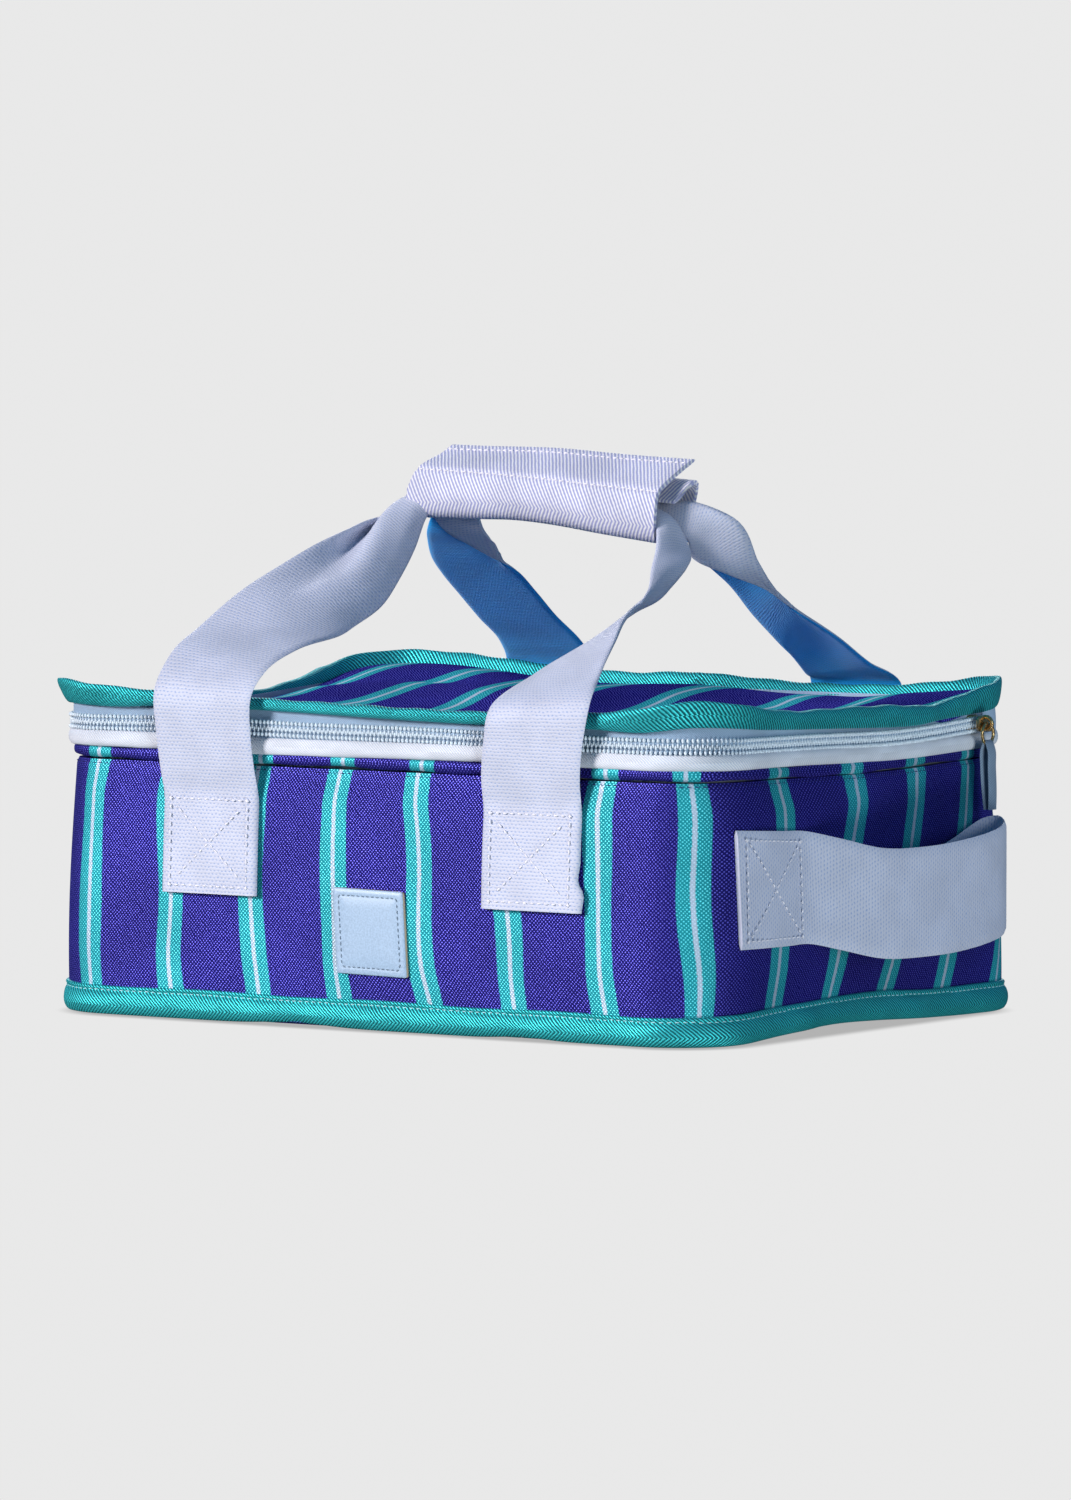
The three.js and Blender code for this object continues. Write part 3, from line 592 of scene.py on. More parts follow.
# Repeats along a path: teeth and stitches
def repeatTree(name, pivot):
    tree = bpy.data.node_groups.new(name, "GeometryNodeTree")
    tree.is_modifier = True
    sockets = [("Path", "NodeSocketGeometry"), ("Spacing", "NodeSocketFloat"), ("Unit", "NodeSocketObject"),
               ("Finish", "NodeSocketMaterial"), ("Uneven", "NodeSocketFloat"), ("Seed", "NodeSocketInt")]
    for label, kind in sockets:
        tree.interface.new_socket(label, in_out="INPUT", socket_type=kind)
    tree.interface.new_socket("Pieces", in_out="OUTPUT", socket_type="NodeSocketGeometry")
    add, link = tree.nodes.new, tree.links.new
    given = add("NodeGroupInput").outputs
    toCurve = add("GeometryNodeMeshToCurve")
    link(given["Path"], toCurve.inputs[0])
    even = add("GeometryNodeResampleCurve")
    even.mode = "LENGTH"
    link(toCurve.outputs[0], even.inputs["Curve"])
    link(given["Spacing"], even.inputs["Length"])
    turn = add("FunctionNodeAlignRotationToVector")
    turn.axis = "X"
    turn.pivot_axis = pivot
    link(add("GeometryNodeInputTangent").outputs[0], turn.inputs["Vector"])
    unit = add("GeometryNodeObjectInfo")
    link(given["Unit"], unit.inputs["Object"])
    size = add("FunctionNodeRandomValue")
    size.data_type = "FLOAT"
    smallest, largest = add("ShaderNodeMath"), add("ShaderNodeMath")
    smallest.operation, largest.operation = "SUBTRACT", "ADD"
    for node in (smallest, largest):
        node.inputs[0].default_value = 1.0
        link(given["Uneven"], node.inputs[1])
    link(smallest.outputs[0], size.inputs[2])
    link(largest.outputs[0], size.inputs[3])
    link(given["Seed"], size.inputs["Seed"])
    place = add("GeometryNodeInstanceOnPoints")
    link(even.outputs[0], place.inputs["Points"])
    link(unit.outputs["Geometry"], place.inputs["Instance"])
    link(turn.outputs[0], place.inputs["Rotation"])
    link(size.outputs[1], place.inputs["Scale"])
    real = add("GeometryNodeRealizeInstances")
    link(place.outputs[0], real.inputs[0])
    finish = add("GeometryNodeSetMaterial")
    link(real.outputs[0], finish.inputs["Geometry"])
    link(given["Finish"], finish.inputs["Material"])
    link(finish.outputs[0], add("NodeGroupOutput").inputs[0])
    return tree


levelRepeat, freeRepeat = repeatTree("repeatLevel", "Z"), repeatTree("repeatFree", "AUTO")


def unitMesh(name, points, faces):
    # small shape, in mm, that the repeats copy; it isn't shown itself
    mesh = bpy.data.meshes.new(name)
    mesh.from_pydata((np.asarray(points) * mm).tolist(), [], faces)
    mesh.polygons.foreach_set("use_smooth", [True] * len(mesh.polygons))
    return bpy.data.objects.new(name, mesh)


def ballFaces(rings, around, reach):
    # closed rounded body: reach(t, a) gives the point at ring t (0 to 1) and angle a
    points = [reach(0.0, 0.0)]
    for r in range(1, rings):
        points += [reach(r / rings, 2 * math.pi * k / around) for k in range(around)]
    points.append(reach(1.0, 0.0))
    last = len(points) - 1
    faces = [[0, 1 + (k + 1) % around, 1 + k] for k in range(around)]
    for r in range(rings - 2):
        low, high = 1 + r * around, 1 + (r + 1) * around
        faces += [[low + k, low + (k + 1) % around, high + (k + 1) % around, high + k] for k in range(around)]
    low = 1 + (rings - 2) * around
    faces += [[low + k, low + (k + 1) % around, last] for k in range(around)]
    points = np.array(points)
    return points, outwardFaces(points, faces)


def joined(bodies):
    # points and faces of several bodies as one
    points, faces = [], []
    for some, sides in bodies:
        faces += [[k + len(points) for k in face] for face in sides]
        points += list(some)
    return np.array(points), faces


def stitchUnit(name, length, radius):
    # one sunk stitch: a thread that dives at both ends, lying along X
    def reach(t, a):
        thin = math.sin(math.pi * t) ** 0.5
        return [(t - 0.5) * length, radius * thin * math.cos(a), radius * thin * math.sin(a)]
    return unitMesh(name, *ballFaces(6, 6, reach))


def repeatAlong(name, paths, unit, spacing, finish, seed, uneven=0.06, tree=freeRepeat, closed=False):
    # copies of the unit along each path (mm), as one plain mesh
    points, edges = [], []
    for path in paths:
        first = len(points)
        points += (np.asarray(path) * mm).tolist()
        edges += [(k, k + 1) for k in range(first, len(points) - 1)]
        if closed:
            edges.append((len(points) - 1, first))
    guide = bpy.data.meshes.new(name + "Guide")
    guide.from_pydata(points, edges, [])
    holder = bpy.data.objects.new(name + "Guide", guide)
    bpy.context.scene.collection.objects.link(holder)
    modifier = holder.modifiers.new("repeat", "NODES")
    values = dict(Spacing=spacing * mm, Unit=unit, Finish=finish, Uneven=uneven, Seed=seed)
    modifier.node_group = tree
    for item in tree.interface.items_tree:
        if item.in_out == "INPUT" and item.name in values:
            modifier[item.identifier] = values[item.name]
    bpy.context.view_layer.update()
    evaluated = holder.evaluated_get(bpy.context.evaluated_depsgraph_get())
    mesh = bpy.data.meshes.new_from_object(evaluated)
    mesh.name = name
    bpy.data.objects.remove(holder)
    mesh.materials.clear()
    mesh.materials.append(finish)
    piece = bpy.data.objects.new(name, mesh)
    bpy.context.scene.collection.objects.link(piece)
    return piece


def dress(piece, body, nodes=()):
    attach(piece, body)
    if nodes:
        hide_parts(*nodes)
    return piece


def sew(name, paths, unit, spacing, thread, seed, body, uneven=0.06, closed=False):
    # rows of stitches that ride on one body
    return dress(repeatAlong(name, paths, unit, spacing, thread, seed, uneven, closed=closed), body)


# Outer wall: cloth on a thin foam, one padded band round the bag
outerWallForm = dict(
    rows=44, innerFace=-5.5, leastThick=0.5, shoulder=0.6, shoulderFrom=0.972, dropShare=0.55,
    # fan of the print over the front: how much, about which place and how far
    spread=0.032, frontMiddle=8, frontReach=170, frontEnd=220, waves=0.8,
    # how far the cut cloth's print sits along the wall from its even place, near the foot and near the top
    footAt=0.2, footToTop=0.65,
    shiftFoot=[(-150, 1.0), (-112, 1.8), (-77.7, 0.5), (-43.4, 0), (-9.1, -1.5), (25.2, -2.0), (59.5, -3.5),
               (93.8, -3.2), (128, -3.0), (162, -0.8), (196, -2.2), (231, -1.2), (265, -0.6), (330, 0)],
    shiftTop=[(-150, 1.0), (-112, 1.0), (-77.7, -0.5), (-43.4, -1.6), (-9.1, -3.2), (25.2, -6.0),
              (59.5, -6.0), (93.8, -3.0), (125, -3.6), (162, 5.5), (178, 6.8), (210, 14.4), (248, 17),
              (280, 15), (330, 4), (380, 0)],
    # further drift at the very top and at the very foot, where the cloth is drawn in
    topDraws=(0.86, 1.0), footDraws=(0.28, 0.02),
    drawnTop=[(-150, 1.6), (100, 1.6), (128, -0.8), (160, -3.6), (235, -3.6), (265, 0.6), (330, 0),
              (380, 1.6)],
    drawnFoot=[(-150, 1.9), (100, 1.9), (128, -1.0), (165, -3.6), (200, -2.4), (235, -1.6), (280, -2.0),
               (330, 0), (380, 1.9)],
)
around = stationsRound()


def printShift(s, share):
    # the print's drift at arc length s and share of the wall's height
    form = outerWallForm
    t = np.clip((share - form["footAt"]) / form["footToTop"], -0.2, 1.2)
    drift = ring(form["shiftFoot"], s) * (1 - t) + ring(form["shiftTop"], s) * t
    top = ring(form["drawnTop"], s) * smooth(*form["topDraws"], share)
    foot = ring(form["drawnFoot"], s) * smooth(*form["footDraws"], share)
    return drift + top + foot


def wallTopAt(s):
    return wallTop - outerWallForm["dropShare"] * zipDrop(s)


def makeOuterWall():
    form = outerWallForm
    t = np.linspace(0, 1, form["rows"])
    s, share = np.meshgrid(around, t, indexing="ij")
    foot = wallBottom + baseRise(s)
    z = foot + share * (wallTopAt(s) - foot)
    outer = wallOffset(s, z) - form["shoulder"] * smooth(form["shoulderFrom"], 1.0, share) ** 2
    inner = np.minimum(outer - form["leastThick"], form["innerFace"])
    offset = np.concatenate([outer, inner[:, ::-1]], 1)
    grid = onOutline(around[:, None], offset, np.concatenate([z, z[:, ::-1]], 1))
    upAndDown = np.concatenate([t, t[::-1], t[:1]])
    s, share = np.meshgrid(np.append(around, around[0] + perimeter), upAndDown, indexing="ij")
    front = aroundBump(s, form["frontMiddle"], form["frontReach"]) * (np.abs(s) < form["frontEnd"])
    along = s - form["spread"] * (1 - share) * (s - form["frontMiddle"]) * front - printShift(s, share)
    along = along + form["waves"] * (np.sin(5.2 * share + 0.045 * s) * np.sin(math.pi * share)
                                     + 0.6 * np.sin(9.0 * share - 0.08 * s))
    uv = np.stack([along, wallBottom + share * (wallTop - wallBottom)], -1)
    wall = gridPiece("outerWall", grid, uv, True, wallCloth)
    return dress(wall, "bag", ["outer_wall", "wall_foam"])


def ovalSection(count, power):
    # unit rounded section, from straight out, anticlockwise
    a = 2 * math.pi * np.arange(count) / count
    c, d = np.cos(a), np.sin(a)
    return np.sign(c) * np.abs(c) ** (2 / power), np.sign(d) * np.abs(d) ** (2 / power)


hemForm = dict(
    middle=86.95, halfHeight=1.95, halfThick=1.5, stand=0.15, points=18, power=2.3, dropShare=0.6,
    # waves in its thickness and in its height
    fat=[(0.10, 0.21, 0.4), (0.08, 0.067, 0)], sway=[(0.25, 0.05, 2)],
    # place of the print on the hem against the wall below it
    stripeShift=[(-150, -1.4), (100, -1.4), (128, 2.0), (165, 1.1), (200, 1.6), (235, 2.1), (270, 1.4),
                 (330, 0.4), (380, -1.4)],
)


def makeHem():
    form = hemForm
    cx, cz = ovalSection(form["points"], form["power"])
    s = around[:, None]
    fat = 1 + waves(s, form["fat"])
    offset = form["stand"] - topLean(s) + form["halfThick"] * fat * cx
    middle = form["middle"] - form["dropShare"] * zipDrop(s) + waves(s, form["sway"])
    z = middle + form["halfHeight"] * fat * cz
    hem = ringPiece("wallHem", around, offset, z, True, wallCloth)
    layer = hem.data.uv_layers["cloth"].data
    uv = np.zeros(len(layer) * 2, np.float32)
    layer.foreach_get("uv", uv)
    along = uv[0::2] / mm
    uv[0::2] += (ring(form["stripeShift"], along) - printShift(along, 1.0)) * mm
    layer.foreach_set("uv", uv)
    return dress(hem, "bag", ["wall_hem"])


baseBindingForm = dict(
    # folded tape under the wall: outward place and height, from the top inner edge
    section=[(-0.9, 9.0), (0.1, 9.9), (1.25, 9.9), (1.6, 9.2), (1.25, 8.3), (2.0, 7.2), (2.5, 5.2),
             (2.4, 3.0), (1.5, 1.0), (0.0, 0.25), (-3.0, 0.2), (-3.2, 1.0), (-1.6, 2.0), (-1.0, 5.0)],
    points=42, lift=1.1, swell=[(0.35, 0.11, 0.8), (0.245, 0.29, 0)], ripple=[(0.25, 0.09, 1)],
    # where the tape's foot lifts: place, width and share of the lift
    lifted=[(-28, 16, 1.0), (62, 12, 0.8), (rightMiddle - 20, 22, 0.6), (rearMiddle + 60, 25, 0.7)],
    # how far the whole tape stands off the floor along the right side
    rise=[(-150, 0), (0, 0), (130, 0), (146, 0.4), (164, 1.4), (190, 2.2), (225, 2.0), (255, 0.8),
          (285, 0.1), (320, 0), (450, 0), (600, 0)],
)


def baseRise(s):
    return ring(baseBindingForm["rise"], s)


def baseSection(s):
    # offsets and heights of the tape's section at arc lengths s
    form = baseBindingForm
    section = splineThrough(form["section"], form["points"], closed=True)
    s = np.asarray(s, float)[:, None]
    out, up = section.T
    lift = form["lift"] * (1 - smooth(1.5, 6.0, up)) * bumps(s, form["lifted"])
    swell = waves(s, form["swell"]) * smooth(9.5, 5.0, up)
    offset = wallOffset(s, wallBottom + 6) - 0.5 + out + swell * (out > 0.3)
    ripple = waves(s, form["ripple"]) * smooth(6, 9, up)
    return offset, up + lift + ripple + baseRise(s)


def makeBaseBinding():
    offset, z = baseSection(around)
    tape = ringPiece("baseBinding", around, offset, z, True, herringTape)
    return dress(tape, "bag", ["base_binding"])


lowerBandForm = dict(
    middle=91.3, halfHeight=2.75, halfThick=1.9, stand=0.2, points=22, power=2.2,
    leanShare=0.6, dropShare=0.8,
    fat=[(0.16, 0.045, 0.5), (0.09, 0.13, 2)], sway=[(0.3, 0.04, 0)],
)


def makeLowerBand():
    form = lowerBandForm
    cx, cz = ovalSection(form["points"], form["power"])
    s = around[:, None]
    fat = 1 + waves(s, form["fat"])
    offset = form["stand"] - form["leanShare"] * topLean(s) + form["halfThick"] * fat * cx
    middle = form["middle"] - form["dropShare"] * zipDrop(s) + waves(s, form["sway"])
    z = middle + form["halfHeight"] * cz
    band = ringPiece("lowerZipBand", around, offset, z, True, bandCloth)
    return dress(band, "bag", ["lower_zip_band"])


# Zip: tapes, two rows of coil, with the ends at the rear of each side
zipForm = dict(
    middle=96.6, rowGap=1.7, stand=0.3, endAt=70.0, toothPitch=1.6, toothStand=0.35, lastGap=2.0,
    tapeThick=0.9, tapeRows=9, tapeSink=0.55, tapeGap=0.25, upperTop=103.0, lowerFoot=93.2,
    # cord along each tape's inner edge: share of the tape's height, width and rise
    cordAt=0.12, cordWidth=0.16, cordRise=0.75,
    # bumps and waves in its height, and its share of the wall's lean
    tilts=[(-70, 70, 0.5), (110, 60, -0.5)], sway=[(0.15, 0.07, 0)], leanShare=0.3,
)
zipStart = leftMiddle - zipForm["endAt"] - perimeter
zipEnd = rightMiddle + zipForm["endAt"]
zipStations = stationsBetween(zipStart, zipEnd)


def zipMiddle(s):
    return zipForm["middle"] - zipDrop(s) + bumps(s, zipForm["tilts"]) + waves(s, zipForm["sway"])


def zipStand(s):
    return zipForm["stand"] - zipForm["leanShare"] * topLean(s)


def makeZipTape(name, low, high, body, node, side):
    form = zipForm
    s = zipStations[:, None]
    t = np.linspace(0, 1, form["tapeRows"])
    z = low(s) + (high(s) - low(s)) * t
    # the tape lips up beside the coil in a smooth cord
    cordAt = form["cordAt"] if side > 0 else 1 - form["cordAt"]
    cord = np.exp(-((t - cordAt) / form["cordWidth"]) ** 2)
    face = zipStand(s) - form["tapeSink"]
    offset = np.concatenate([face + form["cordRise"] * cord, face - form["tapeThick"] + 0 * t], 1)
    tape = ringPiece(name, zipStations, offset, np.concatenate([z, z[:, ::-1]], 1), False, zipCloth)
    return dress(tape, body, [node])


def toothUnit(name, side):
    # coil loop: a round head on its tape, and a thin neck that reaches to the other row
    def head(t, a):
        r = math.sin(math.pi * t) ** 0.7
        return [0.50 * r * math.cos(a), -0.75 * r * math.sin(a), side * (0.25 - 1.9 * (t - 0.5) * 0.9)]

    def neck(t, a):
        r = math.sin(math.pi * t) ** 0.4
        return [0.36 * r * math.cos(a), 0.1 - 0.5 * r * math.sin(a), side * (-0.5 - 1.8 * t)]
    return unitMesh(name, *joined([ballFaces(6, 8, head), ballFaces(5, 6, neck)]))


def makeTeeth(name, side, body, node):
    form = zipForm
    stagger = form["toothPitch"] / 2 if side > 0 else 0
    s = stationsBetween(zipStart, zipEnd - form["lastGap"], 1.0) + stagger
    path = onOutline(s, zipStand(s) + form["toothStand"], zipMiddle(s) + side * form["rowGap"])
    unit = toothUnit(name + "Unit", side)
    row = repeatAlong(name, [path], unit, form["toothPitch"], toothNylon, 3, 0.04, levelRepeat)
    return dress(row, body, [node])


outerWall = makeOuterWall()
makeHem()
makeBaseBinding()
makeLowerBand()
makeZipTape("lowerZipTape", lambda s: zipForm["lowerFoot"] - lowerBandForm["dropShare"] * zipDrop(s),
            lambda s: zipMiddle(s) - zipForm["tapeGap"], "bag", "lower_zip_tape", -1)
upperTape = makeZipTape("upperZipTape", lambda s: zipMiddle(s) + zipForm["tapeGap"],
                        lambda s: zipForm["upperTop"] - zipDrop(s), "lid", "upper_zip_tape", 1)
makeTeeth("lowerZipTeeth", -1, "bag", "lower_zip_coil")
makeTeeth("upperZipTeeth", 1, "lid", "upper_zip_coil")
print("shell and zip made")


# Lid: bound rim, sagging panel and lining
def onFront(x):
    return x


def onRight(y):
    return rightMiddle + y


def onRear(x):
    return rearMiddle - x


def onLeft(y):
    return leftMiddle - y


lidForm = dict(
    # heights of the rim's top and foot round the lid, corners standing proud
    rimTop=[(onFront(0), 105.9), (onFront(45), 105.2), (onFront(86), 106.3), (onFront(104), 107.6),
            (cornerAt["frontRight"], 110.9), (onRight(-70), 108.0), (onRight(-48), 105.9),
            (onRight(-18), 105.6), (onRight(10), 105.0), (onRight(36), 103.8), (onRight(56), 106.4),
            (cornerAt["rearRight"], 110.6), (onRear(98), 107.6), (onRear(78), 105.8), (onRear(44), 105.4),
            (onRear(17), 106.6), (onRear(-4), 107.5), (onRear(-24), 106.7), (onRear(-42), 107.0),
            (onRear(-78), 109.6), (onRear(-94), 110.9), (cornerAt["rearLeft"], 111.4), (onLeft(70), 107.2),
            (onLeft(58), 104.8), (onLeft(31), 101.0), (onLeft(0), 100.4), (onLeft(-40), 103.6),
            (onLeft(-70), 107.6), (cornerAt["frontLeft"], 110.6), (onFront(-96) + perimeter, 108.7),
            (onFront(-42) + perimeter, 106.8)],
    rimFoot=[(onFront(0), 101.9), (onFront(45), 101.0), (onFront(88), 101.0), (onFront(108), 100.5),
             (cornerAt["frontRight"], 102.2), (onRight(-62), 100.4), (onRight(-18), 98.7),
             (onRight(24), 97.4), (onRight(44), 98.6), (onRight(68), 99.6), (cornerAt["rearRight"], 101.0),
             (onRear(60), 100.2), (onRear(0), 100.4), (onRear(-60), 100.8), (cornerAt["rearLeft"], 102.6),
             (onLeft(60), 99.6), (onLeft(30), 96.6), (onLeft(0), 95.8), (onLeft(-40), 98.2),
             (cornerAt["frontLeft"], 102.2), (onFront(-98) + perimeter, 102.1),
             (onFront(-80) + perimeter, 103.0), (onFront(-42) + perimeter, 102.8)],
    rimThick=1.75, rimStand=1.5, rimPoints=26, rimPower=2.7, leanShare=0.35, cornerWidth=26, cornerFlare=3.2,
    # waves in the rim's stand, thickness and height, and small gathers
    sway=[(0.5, 0.06, 1.0)], fat=[(0.14, 0.083, 0.3)], ripple=[(0.2, 0.31, 0.7)], gathers=[(0.35, 0.33, 0)],
    # where the rim stands further out: place, width and size
    standAt=[(cornerAt["frontLeft"], 24, 0.9), (cornerAt["frontRight"], 24, 0.4),
             (cornerAt["rearRight"], 24, -1.4)],
    # short puckers in the tape: place and size
    wrinkle=0.5, puckerWidth=3.2,
    puckers=[(onLeft(66), 1.2), (onRear(-112), -1.3), (onRear(-96), 1.2), (onRear(-86), -0.8),
             (onRight(40), -1.0), (onRight(52), 0.9), (onRear(104), 0.9), (onRight(-52), 0.7),
             (onFront(96), -0.5)],
    panelInset=1.2, panelStep=2.6, panelThick=3.2,
    # lining: how far under the panel, its share of the panel's plan and of its own flat area
    liningThick=0.6, liningGap=0.2, liningShare=0.985, liningArea=0.94,
    # the panel's seat: how far below the rim's top, less along the front, and the least above its foot
    seatBelow=4.3, seatRaise=[(0, 95, 3.4)], seatLeast=0.8,
    # surface of the panel: seats round the rim, scale of its plan, and how loosely it follows its knots
    seats=40, planScale=100, slack=2e-4,
    # sagging panel: plan place and height of its hollows and its soft fold
    sag=[(-88, -62, 100.6), (-40, -62, 99.2), (10, -62, 99.0), (56, -62, 99.6), (96, -58, 101.2),
         (-118, -40, 102.4), (-80, -20, 98.6), (-30, -20, 97.8), (22, -18, 98.0), (70, -14, 98.6),
         (112, -20, 101.0), (-114, -4, 99.6), (-115, 24, 100.0), (-115, 36, 102.0), (-114, 46, 102.0),
         (-116, 54, 102.9), (-112, 69, 106.0), (-80, 16, 99.2), (-80, 34, 101.6), (-80, 51, 103.7),
         (-80, 57, 103.1), (-80, 63, 103.8), (-82, 80, 106.4), (-46, 20, 98.2), (-46, 36, 102.6),
         (-46, 60, 104.6), (-46, 84, 104.2), (-12, 24, 98.6), (-12, 40, 102.4), (-12, 66, 104.4),
         (22, 36, 100.0), (22, 50, 103.0), (22, 84, 103.9), (56, 40, 98.8), (56, 59, 99.6), (56, 69, 101.6),
         (56, 84, 102.4), (90, 20, 99.6), (90, 52, 101.2), (92, 78, 104.0), (116, 8, 101.6),
         (117, 38, 102.4), (112, 66, 104.8)],
)


def rimTopAt(s):
    return ring(lidForm["rimTop"], s)


def rimFootAt(s):
    return ring(lidForm["rimFoot"], s)


def cornerness(s):
    return bumps(s, [(place, lidForm["cornerWidth"], 1.0) for place in cornerAt.values()])


def rimStandAt(s):
    # place of the rim's middle plane; the left front corner sticks out most
    stand = lidForm["rimStand"] + bumps(s, lidForm["standAt"])
    return stand - lidForm["leanShare"] * topLean(s) + waves(s, lidForm["sway"])


def rimWrinkle(s):
    # the tape puckers where it is eased round the corners
    puckers = bumps(s, [(place, lidForm["puckerWidth"], size) for place, size in lidForm["puckers"]])
    return lidForm["wrinkle"] * (puckers + waves(s, lidForm["gathers"]) * (0.3 + cornerness(s)))


def rimSection(s):
    form = lidForm
    s = np.asarray(s, float)[:, None]
    cx, cz = ovalSection(form["rimPoints"], form["rimPower"])
    top, foot, corners = rimTopAt(s), rimFootAt(s), cornerness(s)
    blunt = 0.7 * aroundBump(s, cornerAt["rearRight"], form["cornerWidth"])
    flare = form["cornerFlare"] * (corners - blunt) + 0.4
    thick = form["rimThick"] * (1 + waves(s, form["fat"])) * (1.15 - 0.4 * np.clip(corners, 0, 1))
    offset = rimStandAt(s) + flare * (0.5 * cz + 0.1) + thick * cx + rimWrinkle(s) * (0.6 + 0.5 * cz)
    z = (top + foot) / 2 + (top - foot) / 2 * cz + waves(s, form["ripple"]) * (cz > 0.3)
    return offset, z


def makeLidBinding():
    offset, z = rimSection(around)
    rim = ringPiece("lidBinding", around, offset, z, True, bindingTape)
    return dress(rim, "lid", ["lid_binding"])


def seatAt(s):
    # height at which the panel is sewn to the inside of the rim
    below = lidForm["seatBelow"] - bumps(s, lidForm["seatRaise"])
    return np.maximum(rimTopAt(s) - below, rimFootAt(s) + lidForm["seatLeast"])


class SagField:
    # thin-plate surface through the seat of the rim and the hollows of the panel
    def __init__(self):
        s = np.linspace(0, perimeter, lidForm["seats"], endpoint=False)
        seats = onOutline(s, -lidForm["panelInset"], seatAt(s))
        knots = np.concatenate([seats, np.array(lidForm["sag"], float)])
        self.at = knots[:, :2] / lidForm["planScale"]
        n = len(knots)
        system = np.zeros((n + 3, n + 3))
        system[:n, :n] = self.kernel(self.at) + lidForm["slack"] * np.eye(n)
        system[:n, n] = 1
        system[:n, n + 1:] = self.at
        system[n:, :n] = system[:n, n:].T
        self.weight = np.linalg.solve(system, np.concatenate([knots[:, 2], np.zeros(3)]))

    def kernel(self, at):
        r2 = ((at[:, None, :] - self.at[None, :, :]) ** 2).sum(-1)
        return 0.5 * r2 * np.log(r2 + 1e-12)

    def height(self, x, y):
        at = np.stack([np.ravel(x), np.ravel(y)], -1) / lidForm["planScale"]
        value = self.kernel(at) @ self.weight[:-3] + self.weight[-3] + at @ self.weight[-2:]
        return value.reshape(np.shape(x))


def roundedPlan(inset, step):
    # grid of plan points filling the rounded outline, rows along X
    halfX, halfY = bagForm["halfX"] - inset, bagForm["halfY"] - inset
    radius = bagForm["corner"] - inset
    rows = np.linspace(-1, 1, int(2 * halfY / step))
    rows = np.sign(rows) * (1 - (1 - np.abs(rows)) ** 1.25)
    columns = np.linspace(-1, 1, int(2 * halfX / step))
    y = rows * halfY
    past = np.clip(np.abs(y) - (halfY - radius), 0, None)
    reach = halfX - radius + np.sqrt(np.clip(radius ** 2 - past ** 2, 0, None))
    return columns[None, :] * reach[:, None], np.repeat(y[:, None], len(columns), 1)


def slabPiece(name, x, y, top, bottom, material):
    # closed slab between two height fields on one plan grid
    nu, nv = x.shape
    points = np.concatenate([np.stack([x, y, z], -1).reshape(-1, 3) for z in (top, bottom)])
    faces = []
    for i in range(nu - 1):
        for j in range(nv - 1):
            a, b, c, d = i * nv + j, i * nv + j + 1, (i + 1) * nv + j + 1, (i + 1) * nv + j
            faces.append([a, b, c, d])
            faces.append([nu * nv + d, nu * nv + c, nu * nv + b, nu * nv + a])
    edge = (list(range(nv)) + [i * nv + nv - 1 for i in range(1, nu)]
            + [(nu - 1) * nv + j for j in range(nv - 2, -1, -1)] + [i * nv for i in range(nu - 2, 0, -1)])
    for a, b in zip(edge, edge[1:] + edge[:1]):
        faces.append([a, nu * nv + a, nu * nv + b, b])
    faces = outwardFaces(points, faces)
    uvs = [points[k, :2] * mm for face in faces for k in face]
    return meshObject(name, points, faces, uvs, material, 60)


def makeLidPanel():
    form = lidForm
    x, y = roundedPlan(form["panelInset"], form["panelStep"])
    field = SagField()
    top = field.height(x, y) + 0.18 * np.sin(x * 0.09 + 0.5) * np.sin(y * 0.11)
    panel = slabPiece("lidPanel", x, y, top, top - form["panelThick"], lidCloth)
    dress(panel, "lid", ["lid_panel", "lid_foam"])
    under, share = top - form["panelThick"] - form["liningGap"], form["liningShare"]
    lining = slabPiece("lidLining", x * share, y * share, under, under - form["liningThick"], linerFilm)
    return dress(lining, "lid", ["lid_liner"])


makeLidBinding()
makeLidPanel()
print("lid made")


# Webbing: each handle is one strap from tab to tab, gathered where it enters the grip
webForm = dict(
    width=38.0, thick=1.5, tabThick=2.2, lift=0.35, across=25, step=1.8,
    # sewn ends: their outer and inner edges, the heights of their rows and where the webbing comes free
    tabs=dict(frontLeft=(-80, -42), frontRight=(85.5, 47.5), rearLeft=(-84, -46), rearRight=(82, 44)),
    tabHeights=(42.0, 49.6, 50.6, 58.0, 66.0, 73.0), tabHead=75.0,
    # the turned-under end: its top, and how far it stands out at the right
    underTop=50, peep=0.8,
    # heights round the head of a strap's sewn end, and where the painted blue shade on the rear strap begins
    bendFrom=(0, 0, 0.071), bendTo=(0, 0, 0.083), paintedShadeFrom=98.0, paintedShadeFull=105.0,
)


def wallFace(x, z, side):
    # y of the cloth under a tab; side -1 at the front, 1 at the rear
    s = onFront(x) if side < 0 else onRear(x)
    return side * (bagForm["halfY"] + wallOffset(np.asarray(s, float), z))


def tabSide(tab):
    return -1 if tab.startswith("front") else 1


def sewnRows(tab):
    # flat sewn end, from its foot up to the fold line
    outer, inner = webForm["tabs"][tab]
    side = tabSide(tab)
    rows = []
    for z in webForm["tabHeights"]:
        y = float(wallFace((outer + inner) / 2, z, side)) + side * (webForm["lift"] + webForm["tabThick"] / 2)
        peep = webForm["peep"] if z < webForm["underTop"] and outer > inner else 0.0
        rows.append([(outer + peep, y, z), (inner, y, z)])
    return rows


